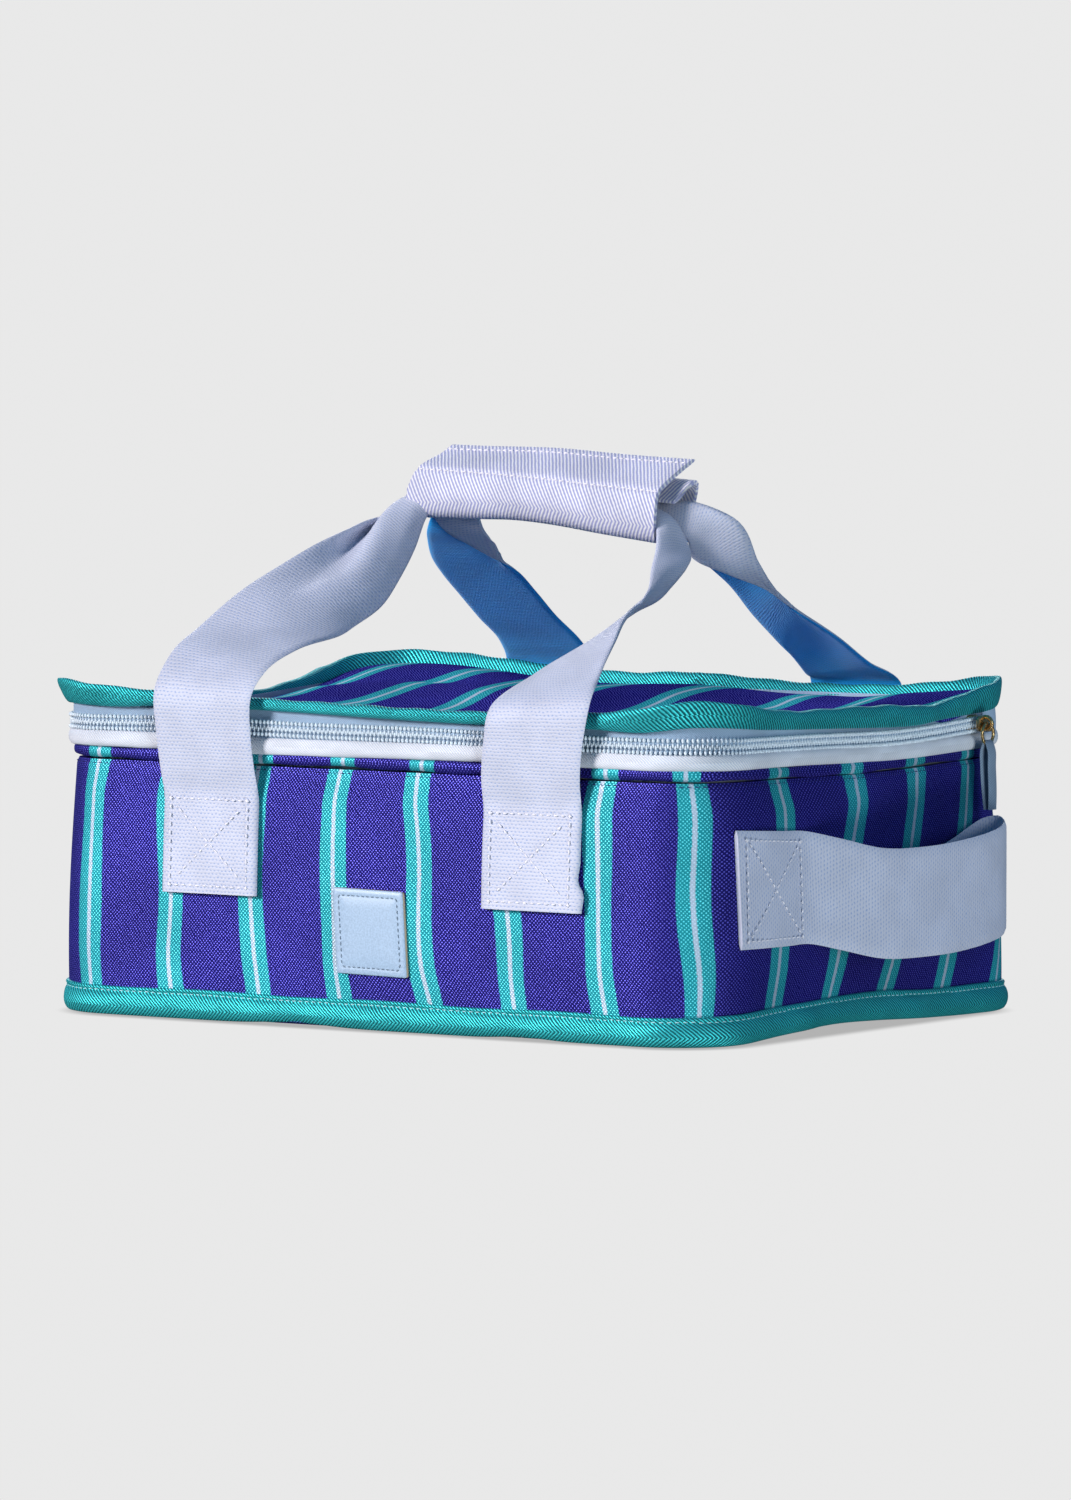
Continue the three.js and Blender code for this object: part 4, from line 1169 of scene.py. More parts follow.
# rows of points across the strap, outer edge first: two are a flat row, more follow a bend or a fold
frontLeftLeg = [
    [(-80, -101.2, 84), (-42, -101.2, 84)],
    [(-80, -103.2, 95), (-42, -103.2, 95)],
    [(-79.8, -104.3, 109), (-41, -104, 107.8)],
    [(-78.9, -97, 119.6), (-39.6, -98, 115.5)],
    [(-76.2, -84, 128.6), (-38.4, -82, 121.9)],
    [(-71, -66, 140.6), (-58.2, -67.3, 136.4), (-51, -67, 133.4), (-43.3, -65, 129), (-36.5, -60.5, 125.6)],
    [(-67.3, -50, 148), (-57, -50, 142.6), (-49, -54.4, 140), (-42.4, -54.6, 135), (-36.4, -52, 128.4)],
    [(-64.2, -34, 154.5), (-58, -32.6, 148), (-46, -42.6, 145), (-38.9, -41.6, 139.6), (-35.4, -38, 134.5)],
    [(-60.6, -23, 158.5), (-60, -17.6, 153.7), (-46.8, -29.6, 154), (-39.6, -28.6, 149), (-36.1, -26, 143.8)],
    [(-56.2, -12.6, 162.2), (-57, -8, 159.6), (-50, -15.6, 163.4), (-41.8, -17, 158.8), (-37.9, -15, 153.1)],
    [(-48.6, -1.4, 163.6), (-50.6, -2, 167), (-48.4, -6.4, 168.6), (-42.8, -7.6, 166.6), (-40, -5.4, 162.8)],
    [(-36, 0.3, 166), (-36, -1.4, 172), (-36, -4.4, 172.4), (-36, -5.2, 168.6), (-36, -4.2, 165)],
]
frontInGrip = [
    [(-10, 0.3, 166), (-10, -1.4, 172), (-10, -4.4, 172), (-10, -5.2, 168), (-10, -4.2, 165)],
    [(20, -3, 164), (20, -4.4, 168), (20, -3.6, 171), (20, -1.6, 170), (20, -0.6, 165)],
]
frontRightLeg = [
    [(44, -4.8, 161), (44, -4.2, 165.6), (44, -1.8, 168.4), (44, -0.2, 165.6), (44, 0.2, 162)],
    [(51.3, -5.6, 161.5), (53, -3.6, 164), (54.6, 0.6, 163.3), (53.8, 0.8, 161), (52.2, -1, 158.6)],
    [(54.8, -10, 156.6), (56.7, -3.6, 157.2), (58.2, 2.6, 155.5), (56.2, 1.6, 154), (53.5, -1, 153)],
    [(60, -21, 148.2), (62, -14, 149.5), (64.1, -7, 149.1), (61.2, -8, 146.8), (59.2, -12.4, 145.6)],
    [(65.1, -30, 143), (65.2, -23.6, 143.7), (64.4, -16.6, 143.2),
     (61.9, -15.6, 141.4), (60.4, -18.6, 140.6)],
    [(70.1, -41.4, 139.7), (68.3, -34.4, 140.1), (66.4, -26.4, 139.8),
     (63.8, -23.4, 138.8), (60.8, -23.4, 138)],
    [(75.7, -59, 135), (71.6, -51.6, 135.3), (67.7, -44.6, 135.3), (63.6, -37.4, 135.2), (58.8, -30, 134.6)],
    [(84.2, -78, 128.4), (77.5, -71.3, 128.4), (70.8, -64.6, 128),
     (63.6, -57.4, 127.3), (56.4, -50.2, 126.2)],
    [(89.1, -94, 117.8), (80.5, -91, 118), (71.9, -88, 117.9), (62.6, -84, 117.3), (53.7, -80, 116.1)],
    [(91.6, -104.3, 107.6), (53, -104, 106.4)],
    [(88.6, -103.6, 95), (50.4, -103.6, 95)],
    [(86.3, -101.4, 84), (48.2, -101.4, 84)],
]
rearLeftLeg = [
    [(-84, 101.4, 84), (-46, 101.4, 84)],
    [(-84, 103.6, 95), (-46, 103.6, 95)],
    [(-83, 104.4, 106.4), (-45, 104.4, 106.2)],
    [(-76.9, 91.7, 115.8), (-42, 90.4, 116.4)],
    [(-73.8, 74, 125.1), (-39.8, 70.6, 126.9)],
    [(-70.5, 57.4, 133.9), (-36.5, 54, 135.6)],
    [(-67.4, 43, 141.4), (-34.6, 40, 143.1)],
    [(-63, 30, 148.2), (-53.4, 29.2, 148.6), (-43.8, 28.4, 149), (-34, 27.6, 149.4), (-35, 26.6, 147.8)],
    [(-57.4, 20, 153.6), (-48.6, 20, 153.6), (-39.8, 20, 153.6), (-31.2, 19.8, 153.7), (-38.6, 18, 152.4)],
    [(-51, 10.8, 158.5), (-43.4, 10.4, 158.8), (-36, 10, 159), (-28.6, 9.6, 159.2), (-41.8, 7.4, 157.8)],
    [(-46, 6.4, 163), (-39.6, 5.8, 164), (-33.6, 5.2, 165), (-27.4, 4.4, 165.4), (-43, 2.6, 163)],
]
rearInGrip = [
    [(-4, 6.4, 165), (-4, 6.2, 169), (-4, 4.4, 172), (-4, 2.6, 169), (-4, 2.2, 165)],
    [(26, 2.2, 163), (26, 2.6, 167), (26, 4.4, 170), (26, 6.2, 167), (26, 6.4, 163)],
]
rearRightLeg = [
    [(46, 2.4, 160), (46, 2.8, 165), (46, 4.6, 168.6), (46, 6.4, 165), (46, 6.6, 160)],
    [(57.6, 4.4, 156.8), (60.6, 4.6, 163.2), (61.4, 6.4, 168.4), (59.4, 9.4, 162), (55.6, 11, 154.6)],
    [(56.8, 7, 152), (64.1, 8.4, 158.6), (70.2, 11.6, 164), (63, 16.4, 157.4), (54.3, 18, 150.2)],
    [(66.5, 14.4, 145.6), (70.6, 17.4, 147.9), (73.3, 22, 149.1), (64.4, 29.6, 145), (54.2, 35, 140.7)],
    [(72.1, 28.6, 140.4), (72.9, 30.6, 140.2), (72.9, 33.4, 139.2), (62.4, 43.6, 134.9), (50.9, 54, 130.2)],
    [(73.2, 40, 134.9), (73.3, 41, 134.8), (72.2, 43, 134.1), (61.2, 55.6, 128.6), (50.2, 68, 121.9)],
    [(75.9, 70, 121.7), (68.5, 75.1, 120.6), (61, 79.2, 118.9), (54.1, 82.1, 116.7), (47.8, 84, 114.2)],
    [(76.6, 87, 113.2), (60.4, 93, 111.4), (44, 97, 108.6)],
    [(77, 104.5, 106.4), (41.4, 104.5, 105.8)],
    [(80, 103.6, 95), (43, 103.6, 95)],
    [(82, 101.4, 84), (44, 101.4, 84)],
]


def acrossPoints(row):
    # five points across the strap, whatever number the row gives
    row = np.array(row, float)
    share = np.linspace(0, len(row) - 1, 5)
    low = np.minimum(share.astype(int), len(row) - 2)
    return row[low] + (row[low + 1] - row[low]) * (share - low)[:, None]


def ribbonPiece(name, rows, thickAt, width, material, step, across):
    # strap through the rows, with rounded selvages; returns the piece, its rows and flat length
    control = np.array([acrossPoints(row) for row in rows])
    knots = runLength(control.mean(1))
    count = int(knots[-1] / step)
    at = np.linspace(knots[0], knots[-1], count)
    fine = curveThrough(knots, control.reshape(len(rows), -1), at).reshape(count, -1, 3)
    rows = np.array([splineThrough(points, across) for points in fine])
    normal = np.cross(np.gradient(rows, axis=0), np.gradient(rows, axis=1))
    normal /= np.linalg.norm(normal, axis=2)[:, :, None] + 1e-12
    w = np.linspace(-1, 1, across)
    plump = np.sqrt(np.clip(1 - np.abs(w) ** 14, 0, 1)) * 0.85 + 0.15
    half = thickAt(rows[:, across // 2, :])[:, None] / 2 * plump[None, :]
    front, back = rows + normal * half[:, :, None], rows - normal * half[:, :, None]
    grid = np.concatenate([front, back[:, ::-1]], 1)
    length = runLength(rows[:, across // 2, :])
    u = np.repeat(length[:, None], 2 * across + 1, 1)
    reach = np.array([runLength(row) for row in rows])
    v = (reach / reach[:, -1:] - 0.5) * width
    uv = np.stack([u, np.concatenate([v, v[:, ::-1], v[:, :1]], 1)], -1)
    return gridPiece(name, grid, uv, False, material, 60), rows, float(length[-1])


def strapThick(middle):
    # folded under where it is sewn
    sewn = 1 - smooth(webForm["tabHead"] - 1.5, webForm["tabHead"] + 1.0, middle[:, 2])
    return webForm["thick"] + (webForm["tabThick"] - webForm["thick"]) * sewn


def paintLidShade(piece, rows):
    # painted shade: the rear strap's face that is turned to the lid is painted a deeper blue above the rim,
    # for the shade that falls there
    share = smooth(webForm["paintedShadeFrom"], webForm["paintedShadeFull"], rows[:, ::-1, 2])
    values = np.concatenate([0 * share, share], 1).ravel().astype(np.float32)
    piece.data.attributes.new("inside", "FLOAT", "POINT").data.foreach_set("value", values)


def makeHandleWeb(name, rows, handle, nodes):
    piece, rows, length = ribbonPiece(name, rows, strapThick, webForm["width"], strapWeb,
                                      webForm["step"], webForm["across"])
    if handle == "rear_handle":
        paintLidShade(piece, rows)
    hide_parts(*nodes)
    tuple(webForm["bendFrom"])
    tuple(webForm["bendTo"])
    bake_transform(piece)
    return piece


frontRun = (sewnRows("frontLeft") + frontLeftLeg + frontInGrip + frontRightLeg
            + sewnRows("frontRight")[::-1])
rearRun = sewnRows("rearLeft") + rearLeftLeg + rearInGrip + rearRightLeg + sewnRows("rearRight")[::-1]
makeHandleWeb("frontWebbing", frontRun, "front_handle", ["front_strap", "front_left_tab", "front_right_tab"])
makeHandleWeb("rearWebbing", rearRun, "rear_handle", ["rear_strap", "rear_left_tab", "rear_right_tab"])
print("handle webbing made")


# Grip: one twill cover up the front and over the top, and a curled rear layer under its flap
gripForm = dict(
    left=-43.0, right=55.0, step=1.4, samples=46, thick=1.5, flapBack=9.0,
    foot=[(-43, 163.2), (-23, 163.2), (-6, 163.2), (13, 161.7), (29, 159.7), (54, 156.9)],
    seam=[(-43, 178.3), (-22, 177.6), (6, 176.2), (30, 174.4), (54, 172.8)],
    edge=[(-43, 186.4), (-32, 186.2), (0, 186.0), (28, 184.4), (58, 183.2)],
    # places of the cover's two cut ends, from the foot round to the free edge
    coverLeft=(-40, -41, -43.6, -46.6, -46.2, -44.2, -42.8, -41.6, -40.4, -38.8),
    coverRight=(49.4, 50.2, 51.4, 52.4, 52.7, 52.8, 53, 54, 55.4, 57.4),
    rearLeft=(-38, -39, -40, -41, -41, -40, -39, -38, -38, -38),
    rearRight=(50, 51, 53, 55.6, 57.4, 58.6, 59, 58.6, 57, 55),
    # the sewn fold between front and top: its share of the section, depth, width, and two places that bound
    # the zone round it
    fold=0.635, foldDepth=0.5, foldWidth=0.026, bendFrom=(0, -0.0075, 0.1735), bendTo=(0, -0.0035, 0.1795),
    tapeThick=0.7, tapeGap=0.05, tapeLeft=-30.0, tapeRight=44.0, hook=(0.80, 0.93), loop=(0.56, 0.68),
    # samples on the upright front and back, which tell the outer side of each layer
    frontSample=20, backSample=14,
)


def gripLine(key, x):
    # smooth height along the grip
    places, heights = zip(*gripForm[key])
    return curveThrough(places, heights, x)


def coverSection(x):
    # section of the cover: under the straps, up the front, then back over the top to the free edge
    b, m, e = (gripLine(key, x) for key in ("foot", "seam", "edge"))
    back = gripForm["flapBack"]
    return [(1.2, b + 0.4), (-2.4, b - 0.1), (-5.6, b + 1.7), (-7.2, b + 5.5), (-7.3, (b + m) / 2 + 1.5),
            (-6.7, m - 1.6), (-5.6, m + 0.7), (-2.2, m + 0.32 * (e - m)), (back * 0.45, e - 3.2), (back, e)]


def rearSection(x):
    # rear layer: up the back, then curled forward and down under the flap
    b, m = (gripLine(key, x) for key in ("foot", "seam"))
    return [(2.4, b + 0.6), (5.8, b + 1.6), (8.6, b + 5.5), (9.6, (b + m) / 2), (9.8, m - 1), (8.8, m + 2.2),
            (6.2, m + 3.2), (3.4, m + 1.8), (1.2, m - 1.2), (-0.6, m - 3.6)]


def clothTube(name, sectionAt, leftEnds, rightEnds, foldDepth=0.0):
    # cloth of even thickness whose section changes along X, cut at a slant at both ends
    form = gripForm
    samples = form["samples"]
    count = int((form["right"] - form["left"]) / form["step"])
    share = np.linspace(0, 1, samples)
    knots = np.linspace(0, 1, len(leftEnds))
    low, high = np.interp(share, knots, leftEnds), np.interp(share, knots, rightEnds)
    rows = np.zeros((count, samples, 3))
    for k, t in enumerate(np.linspace(0, 1, count)):
        rows[k, :, 0] = low + (high - low) * t
        rows[k, :, 1:] = splineThrough(sectionAt(form["left"] + (form["right"] - form["left"]) * t), samples)
    normal = np.cross(np.gradient(rows, axis=0), np.gradient(rows, axis=1))
    normal /= np.linalg.norm(normal, axis=2)[:, :, None]
    dip = foldDepth * np.exp(-((share - form["fold"]) / form["foldWidth"]) ** 2)
    inward = np.sign(normal[count // 2, int(form["fold"] * samples), 1])
    rows = rows + normal * (inward * dip)[None, :, None]
    w = np.linspace(-1, 1, samples)
    half = form["thick"] / 2 * (0.25 + 0.75 * np.sqrt(np.clip(1 - np.abs(w) ** 24, 0, 1)))
    front, back = rows + normal * half[None, :, None], rows - normal * half[None, :, None]
    grid = np.concatenate([front, back[:, ::-1]], 1)
    v = runLength(rows[count // 2])
    v = np.concatenate([v, v[::-1], v[:1]])
    x = np.concatenate([rows[:, :, 0], rows[:, ::-1, 0], rows[:, :1, 0]], 1)
    uv = np.stack([x, np.repeat(v[None, :], count, 0)], -1)
    piece = gridPiece(name, grid, uv, False, gripCloth, 60)
    return piece, rows, normal, float(runLength(rows[count // 2])[-1])


def fastenerPiece(name, rows, normal, shares, lift):
    # strip of fastening tape laid on a cloth tube, between two shares of its section
    low, high = (int(share * (rows.shape[1] - 1)) for share in shares)
    middle = rows[:, (low + high) // 2, 0]
    keep = (middle > gripForm["tapeLeft"]) & (middle < gripForm["tapeRight"])
    base, away = rows[keep, low:high + 1], normal[keep, low:high + 1]
    top = lift + math.copysign(gripForm["tapeThick"], lift)
    grid = np.concatenate([base + away * lift, (base + away * top)[:, ::-1]], 1)
    uv = np.zeros((grid.shape[0], grid.shape[1] + 1, 2))
    return gridPiece(name, grid, uv, False, fastenerTape, 40)


def makeGrip():
    form = gripForm
    cover, rows, normal, girth = clothTube("gripCover", coverSection, form["coverLeft"], form["coverRight"],
                                           form["foldDepth"])
    rear, rearRows, rearNormal, rearGirth = clothTube("gripRear", rearSection, form["rearLeft"],
                                                      form["rearRight"])
    gap = form["thick"] / 2 + form["tapeGap"]
    outward = 1 if normal[len(rows) // 2, form["frontSample"], 1] < 0 else -1
    rearOutward = 1 if rearNormal[len(rearRows) // 2, form["backSample"], 1] > 0 else -1
    hook = fastenerPiece("hookTape", rows, normal, form["hook"], -gap * outward)
    loop = fastenerPiece("loopTape", rearRows, rearNormal, form["loop"], gap * rearOutward)
    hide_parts("grip_front", "grip_flap")
    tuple(form["bendFrom"])
    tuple(form["bendTo"])
    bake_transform(cover)
    dress(rear, "rear_handle", ["grip_rear"])
    dress(hook, "grip_flap", ["hook_tape"])
    dress(loop, "rear_handle", ["loop_tape"])
    return rows, normal * outward


coverRows, coverNormal = makeGrip()
print("grip made")


# Side handle: sewn flat at the front, slack in the middle, turned under at the rear
sideForm = dict(
    width=38.0, thick=1.5, lift=0.35, across=17, step=2.0,
    # sewn end: its rows' places and slant, and the heights of its edges with their fall towards the rear
    sewnAt=(-79.0, -66.0, -52.0, -40.0), slant=0.6, top=69.2, topFall=2.4, foot=31.0, footFall=0.6,
    # corners of the box of stitches on it: place along the side and height
    box=[(-76.0, 33.6), (-45.0, 33.2), (-45.0, 63.8), (-76.0, 66.0)],
)
sideArch = [
    # plan place of the strap's middle, then the heights of its top and bottom edges
    (138.2, -29.5, 64.2, 28.2), (145.0, -14.5, 60.4, 24.6), (149.4, 5, 59.8, 24.0), (151.0, 28, 61.0, 24.8),
    (150.6, 43, 62.4, 26.2), (148.4, 54, 63.8, 27.4), (144.6, 61.4, 65.2, 28.4), (139.4, 64.8, 66.2, 29.0),
    (135.8, 62.4, 65.2, 28.2), (134.2, 56.5, 62.6, 27.2), (133.9, 48, 59.6, 26.4), (133.8, 38, 56.8, 26.2),
]


def onSideWall(y, z, lift):
    # point on the right wall, following its round front corner
    s = np.asarray(onRight(y), float)
    px, py, nx, ny = outlineAt(s)
    offset = wallOffset(s, z) + lift
    return float(px + nx * offset), float(py + ny * offset), z


def makeSideHandle():
    form = sideForm
    lift = form["lift"] + form["thick"] / 2
    first, last = form["sewnAt"][0], form["sewnAt"][-1]
    stations = []
    for y in form["sewnAt"]:
        share = (y - first) / (last - first)
        top, foot = form["top"] - form["topFall"] * share, form["foot"] - form["footFall"] * share
        stations.append([onSideWall(y - form["slant"], top, lift), onSideWall(y + form["slant"], foot, lift)])
    stations += [[(x, y, top), (x, y, foot)] for x, y, top, foot in sideArch]
    strap, length = ribbonPiece("sideHandle", stations, lambda middle: form["thick"] + 0 * middle[:, 0],
                                form["width"], strapWeb, form["step"], form["across"])[::2]
    return dress(strap, "bag", ["side_handle"])


makeSideHandle()


# Patch: bare square with a pressed line and a stitched border
patchForm = dict(
    centre=(3.4, 32.2), side=27.8, tilt=-0.015, lean=0.075, thick=1.3, corner=0.9, leastCorner=0.8,
    border=2.3, pressed=0.55, lift=0.15, threadShare=0.97, threadCorner=1.0,
)


def patchPoint(u, v, lift):
    # place on the front wall from the patch's own square, turned a little
    c, t = patchForm["centre"], patchForm["tilt"]
    u = u - patchForm["lean"] * v
    x = c[0] + u * math.cos(t) - v * math.sin(t)
    z = c[1] + u * math.sin(t) + v * math.cos(t)
    return x, float(wallFace(x, z, -1)) - lift, z


def roundedSquare(half, corner, steps=6):
    points, inner = [], half - corner
    for k, (cx, cz) in enumerate(((1, -1), (1, 1), (-1, 1), (-1, -1))):
        for i in range(steps + 1):
            angle = -math.pi / 2 + math.pi / 2 * k + math.pi / 2 * i / steps
            points.append((cx * inner + corner * math.cos(angle), cz * inner + corner * math.sin(angle)))
    return points


def makePatch():
    form = patchForm
    half, border, pressed = form["side"] / 2, form["border"], form["pressed"]
    # rings from the back edge over a rounded rim, into a pressed line and on to the middle
    profile = [(0.0, 0.0), (0.0, 0.8), (0.3, 1.0), (border - pressed, 1.0), (border, 0.9),
               (border + pressed, 1.0), (half * 0.45, 1.02), (half * 0.8, 1.02)]
    grid = []
    for inset, share in profile:
        square = roundedSquare(half - inset, max(form["corner"] - inset * 0.5, form["leastCorner"]))
        grid.append([patchPoint(u, v, form["lift"] + form["thick"] * share) for u, v in square])
    grid = np.array(grid)
    uv = np.zeros((len(grid), grid.shape[1] + 1, 2))
    uv[:, :-1, 0], uv[:, :-1, 1] = grid[:, :, 0], grid[:, :, 2]
    uv[:, -1] = uv[:, 0]
    patch = gridPiece("labelPatch", grid, uv, False, patchLeather)
    # the cut edge shows bare hide
    patch.data.materials.append(patchEdge)
    for face in list(patch.data.polygons)[:grid.shape[1]]:
        face.material_index = 1
    return dress(patch, "bag", ["label_patch"])


makePatch()
print("side handle and patch made")


# Stitching: thread lines over the webbing, the patch, the grip and the bindings
stitchForm = dict(
    # spacing of the stitches, and the length and radius of each kind
    tab=2.6, patch=1.95, grip=2.4, base=2.6, hem=2.6,
    tabUnit=(1.7, 0.3), patchUnit=(1.3, 0.22), gripUnit=(1.9, 0.3), bindingUnit=(1.7, 0.17),
    rise=0.12, lineStep=0.8,
    # box on a sewn end: half its width, its foot and head, and how far the cross stays inside it
    boxHalf=15.4, boxFoot=44.6, boxHead=73.0, crossInset=4,
    # seams on the grip: how far past the fold, share of the section near the free edge, and lift
    pastFold=0.022, flapShare=0.95, gripLift=0.1,
    baseHeight=8.4, baseLift=0.1, hemDrop=1.15, hemSink=0.05,
)


def boxLines(corners, cross):
    # the four sides of a box and its cross, as evenly spaced places along each line
    lines = []
    for start, end in list(zip(corners, corners[1:] + corners[:1])) + cross:
        count = max(2, int(math.dist(start, end) / stitchForm["lineStep"]))
        lines.append(np.linspace(start, end, count))
    return lines


def tabBox(tab):
    # box stitching on a sewn end of the handles
    form, side = stitchForm, tabSide(tab)
    lift = webForm["lift"] + webForm["tabThick"] + form["rise"]
    centre = sum(webForm["tabs"][tab]) / 2
    left, right = centre - form["boxHalf"], centre + form["boxHalf"]
    low, high, inset = form["boxFoot"], form["boxHead"], form["crossInset"]
    cross = [((left + inset, low + inset), (right - inset, high - inset)),
             ((right - inset, low + inset), (left + inset, high - inset))]
    return [np.array([(x, float(wallFace(x, z, side)) + side * lift, z) for x, z in line])
            for line in boxLines([(left, low), (right, low), (right, high), (left, high)], cross)]


def sideBox():
    # box stitching at the sewn front end of the side handle
    lift = sideForm["lift"] + sideForm["thick"] + stitchForm["rise"]
    box = sideForm["box"]
    lines = boxLines(box, [(box[0], box[2]), (box[1], box[3])])
    return [np.array([onSideWall(y, z, lift) for y, z in line]) for line in lines]


def patchRow():
    # path round the patch along its pressed line
    form = patchForm
    square = roundedSquare(form["side"] / 2 - form["border"], form["threadCorner"], 4)
    return np.array([patchPoint(u, v, form["lift"] + form["thick"] * form["threadShare"]) for u, v in square])


def gripSeam(share):
    # line along the cover at a share of its section, lifted off the cloth
    j = int(share * (coverRows.shape[1] - 1))
    return coverRows[1:-1, j] + coverNormal[1:-1, j] * (gripForm["thick"] / 2 + stitchForm["gripLift"])


def baseSeam():
    # path round the bag on the outer face of the base tape, at a height above the tape's foot
    offset, z = baseSection(around)
    away = np.abs(z - baseRise(around)[:, None] - stitchForm["baseHeight"])
    outer = offset > np.median(offset, axis=1, keepdims=True)
    nearest = np.argmin(np.where(outer, away, np.inf), axis=1)[:, None]
    offset, z = (np.take_along_axis(values, nearest, 1)[:, 0] for values in (offset, z))
    return onOutline(around, offset + stitchForm["baseLift"], z)


def hemRow():
    # path round the bag in the groove under the hem
    z = wallTopAt(around) - stitchForm["hemDrop"]
    return onOutline(around, wallOffset(around, z) - stitchForm["hemSink"], z)


def makeStitches():
    form = stitchForm
    tabStitch = stitchUnit("tabStitch", *form["tabUnit"])
    tabLines = [line for tab in webForm["tabs"] for line in tabBox(tab)]
    sew("tabStitches", tabLines, tabStitch, form["tab"], threadCotton, 3, "bag", uneven=0.08)
    sew("sideStitches", sideBox(), tabStitch, form["tab"], threadCotton, 5, "bag", uneven=0.08)
    patchStitch = stitchUnit("patchStitch", *form["patchUnit"])
    sew("patchStitches", [patchRow()], patchStitch, form["patch"], patchThread, 7, "bag",
        uneven=0.05, closed=True)
    gripStitch = stitchUnit("gripStitch", *form["gripUnit"])
    foldPath = gripSeam(gripForm["fold"] + form["pastFold"])
    foldSeam = repeatAlong("gripSeam", [foldPath], gripStitch, form["grip"], threadCotton, 9)
    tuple(gripForm["bendFrom"])
    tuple(gripForm["bendTo"])
    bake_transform(foldSeam)
    sew("flapSeam", [gripSeam(form["flapShare"])], gripStitch, form["grip"], threadCotton, 11,
        "grip_flap")
    bindingStitch = stitchUnit("bindingStitch", *form["bindingUnit"])
    sew("baseStitches", [baseSeam()], bindingStitch, form["base"], tealThread, 13, "bag",
        closed=True)
    sew("hemStitches", [hemRow()], bindingStitch, form["hem"], violetThread, 15, "bag",
        closed=True)


makeStitches()
print("stitching made")


# Zip slider, ring, pull and stops
sliderForm = dict(
    y=64.2, z=96.4, plateX=135.1, backX=130.4, length=9.0, height=5.4, plate=1.3,
    post=(2.6, 1.0, 0.6), postBehind=2.4,
    # loop that the ring hangs on: outward place, and height from the slider's middle
    bail=[(135.4, -2.2), (136.9, -2.0), (138.0, -1.0), (138.2, 0.4), (137.2, 1.8), (135.4, 2.2)],
    bailSteps=24, bailRadius=0.65,
)
pullForm = dict(
    wire=0.55, wireSteps=48, wireSides=12, thick=0.9, step=0.8, across=7,
    # how far the tape hangs below the solid's box, and stays under its top
    hang=1.5, below=2.6,
)


def pillow(centre, half, power=3.2, rings=12, sides=20):
    # rounded block
    def bend(v):
        return math.copysign(abs(v) ** (2 / power), v)

    def reach(t, a):
        polar = math.pi * (t - 0.5)
        c, d = bend(math.cos(polar)), bend(math.sin(polar))
        return [centre[0] + half[0] * c * bend(math.cos(a)), centre[1] + half[1] * c * bend(math.sin(a)),
                centre[2] + half[2] * d]
    return ballFaces(rings, sides, reach)


def joinBodies(name, bodies, material):
    return meshObject(name, *joined(bodies), None, material, 40)


def tubeBody(path, radius, closed=False, sides=10):
    # round bar along a path
    path = np.asarray(path, float)
    n = len(path)
    ahead = np.roll(path, -1, 0) - np.roll(path, 1, 0) if closed else np.gradient(path, axis=0)
    ahead /= np.linalg.norm(ahead, axis=1)[:, None]
    across = np.cross(ahead, [0.12, 1.0, 0.05])
    across /= np.linalg.norm(across, axis=1)[:, None]
    up = np.cross(across, ahead)
    points, faces = [], []
    for k in range(n):
        for i in range(sides):
            a = 2 * math.pi * i / sides
            points.append(path[k] + radius * (math.cos(a) * across[k] + math.sin(a) * up[k]))
    for k in range(n if closed else n - 1):
        for i in range(sides):
            j, m = (i + 1) % sides, (k + 1) % n
            faces.append([k * sides + i, k * sides + j, m * sides + j, m * sides + i])
    if not closed:
        faces += [list(range(sides))[::-1], list(range((n - 1) * sides, n * sides))]
    points = np.array(points)
    return points, outwardFaces(points, faces)


def makeSlider():
    form = sliderForm
    y, z = form["y"], form["z"]
    half = (form["plate"] / 2, form["length"] / 2, form["height"] / 2)
    postX = (form["plateX"] + form["backX"]) / 2
    bodies = [pillow((form["plateX"], y, z), half), pillow((form["backX"], y, z), half),
              pillow((postX, y + form["postBehind"], z), form["post"])]
    bail = [(x, y, z + rise) for x, rise in splineThrough(form["bail"], form["bailSteps"])]
    bodies.append(tubeBody(bail, form["bailRadius"]))
    slider = joinBodies("zipSlider", bodies, brassMetal)
    return dress(slider, "zip_slider", ["zip_slider"])


def makeRing():
    form = pullForm
    low, high = boxMm("pull_ring")
    x, y, z = (low + high) / 2
    reach = (high[2] - low[2]) / 2 - form["wire"]
    turn = np.linspace(0, 2 * math.pi, form["wireSteps"], endpoint=False)
    path = np.stack([x + 0 * turn, y + reach * np.cos(turn), z + reach * np.sin(turn)], -1)
    ringBody = joinBodies("pullRing", [tubeBody(path, form["wire"], True, form["wireSides"])], brassMetal)
    return dress(ringBody, "zip_pull", ["pull_ring"])


def makePull():
    # narrow tape doubled through the ring
    form = pullForm
    low, high = boxMm("pull_strap")
    foot, top = low[2] - form["hang"], high[2] - form["below"]
    # outward place and height, up the outer layer and down the inner one
    path = [(138.4, foot), (138.5, foot + 6), (138.2, foot + 14), (137.9, top - 2), (136.7, top + 0.4),
            (135.5, top - 2), (135.3, foot + 14), (135.9, foot + 6), (136.6, foot)]
    stations = [[(x, low[1], z), (x, high[1], z)] for x, z in path]
    strap = ribbonPiece("pullStrap", stations, lambda middle: form["thick"] + 0 * middle[:, 0],
                        high[1] - low[1], pullTape, form["step"], form["across"])[0]
    return dress(strap, "zip_pull", ["pull_strap"])


def makeStops():
    bodies = []
    for node in ("zip_stop_left", "zip_stop_right"):
        low, high = boxMm(node)
        bodies.append(pillow((low + high) / 2, (high - low) / 2 + 0.3, 4.0, 8, 12))
    stops = joinBodies("zipStops", bodies, brassMetal)
    return dress(stops, "bag", ["zip_stop_left", "zip_stop_right"])


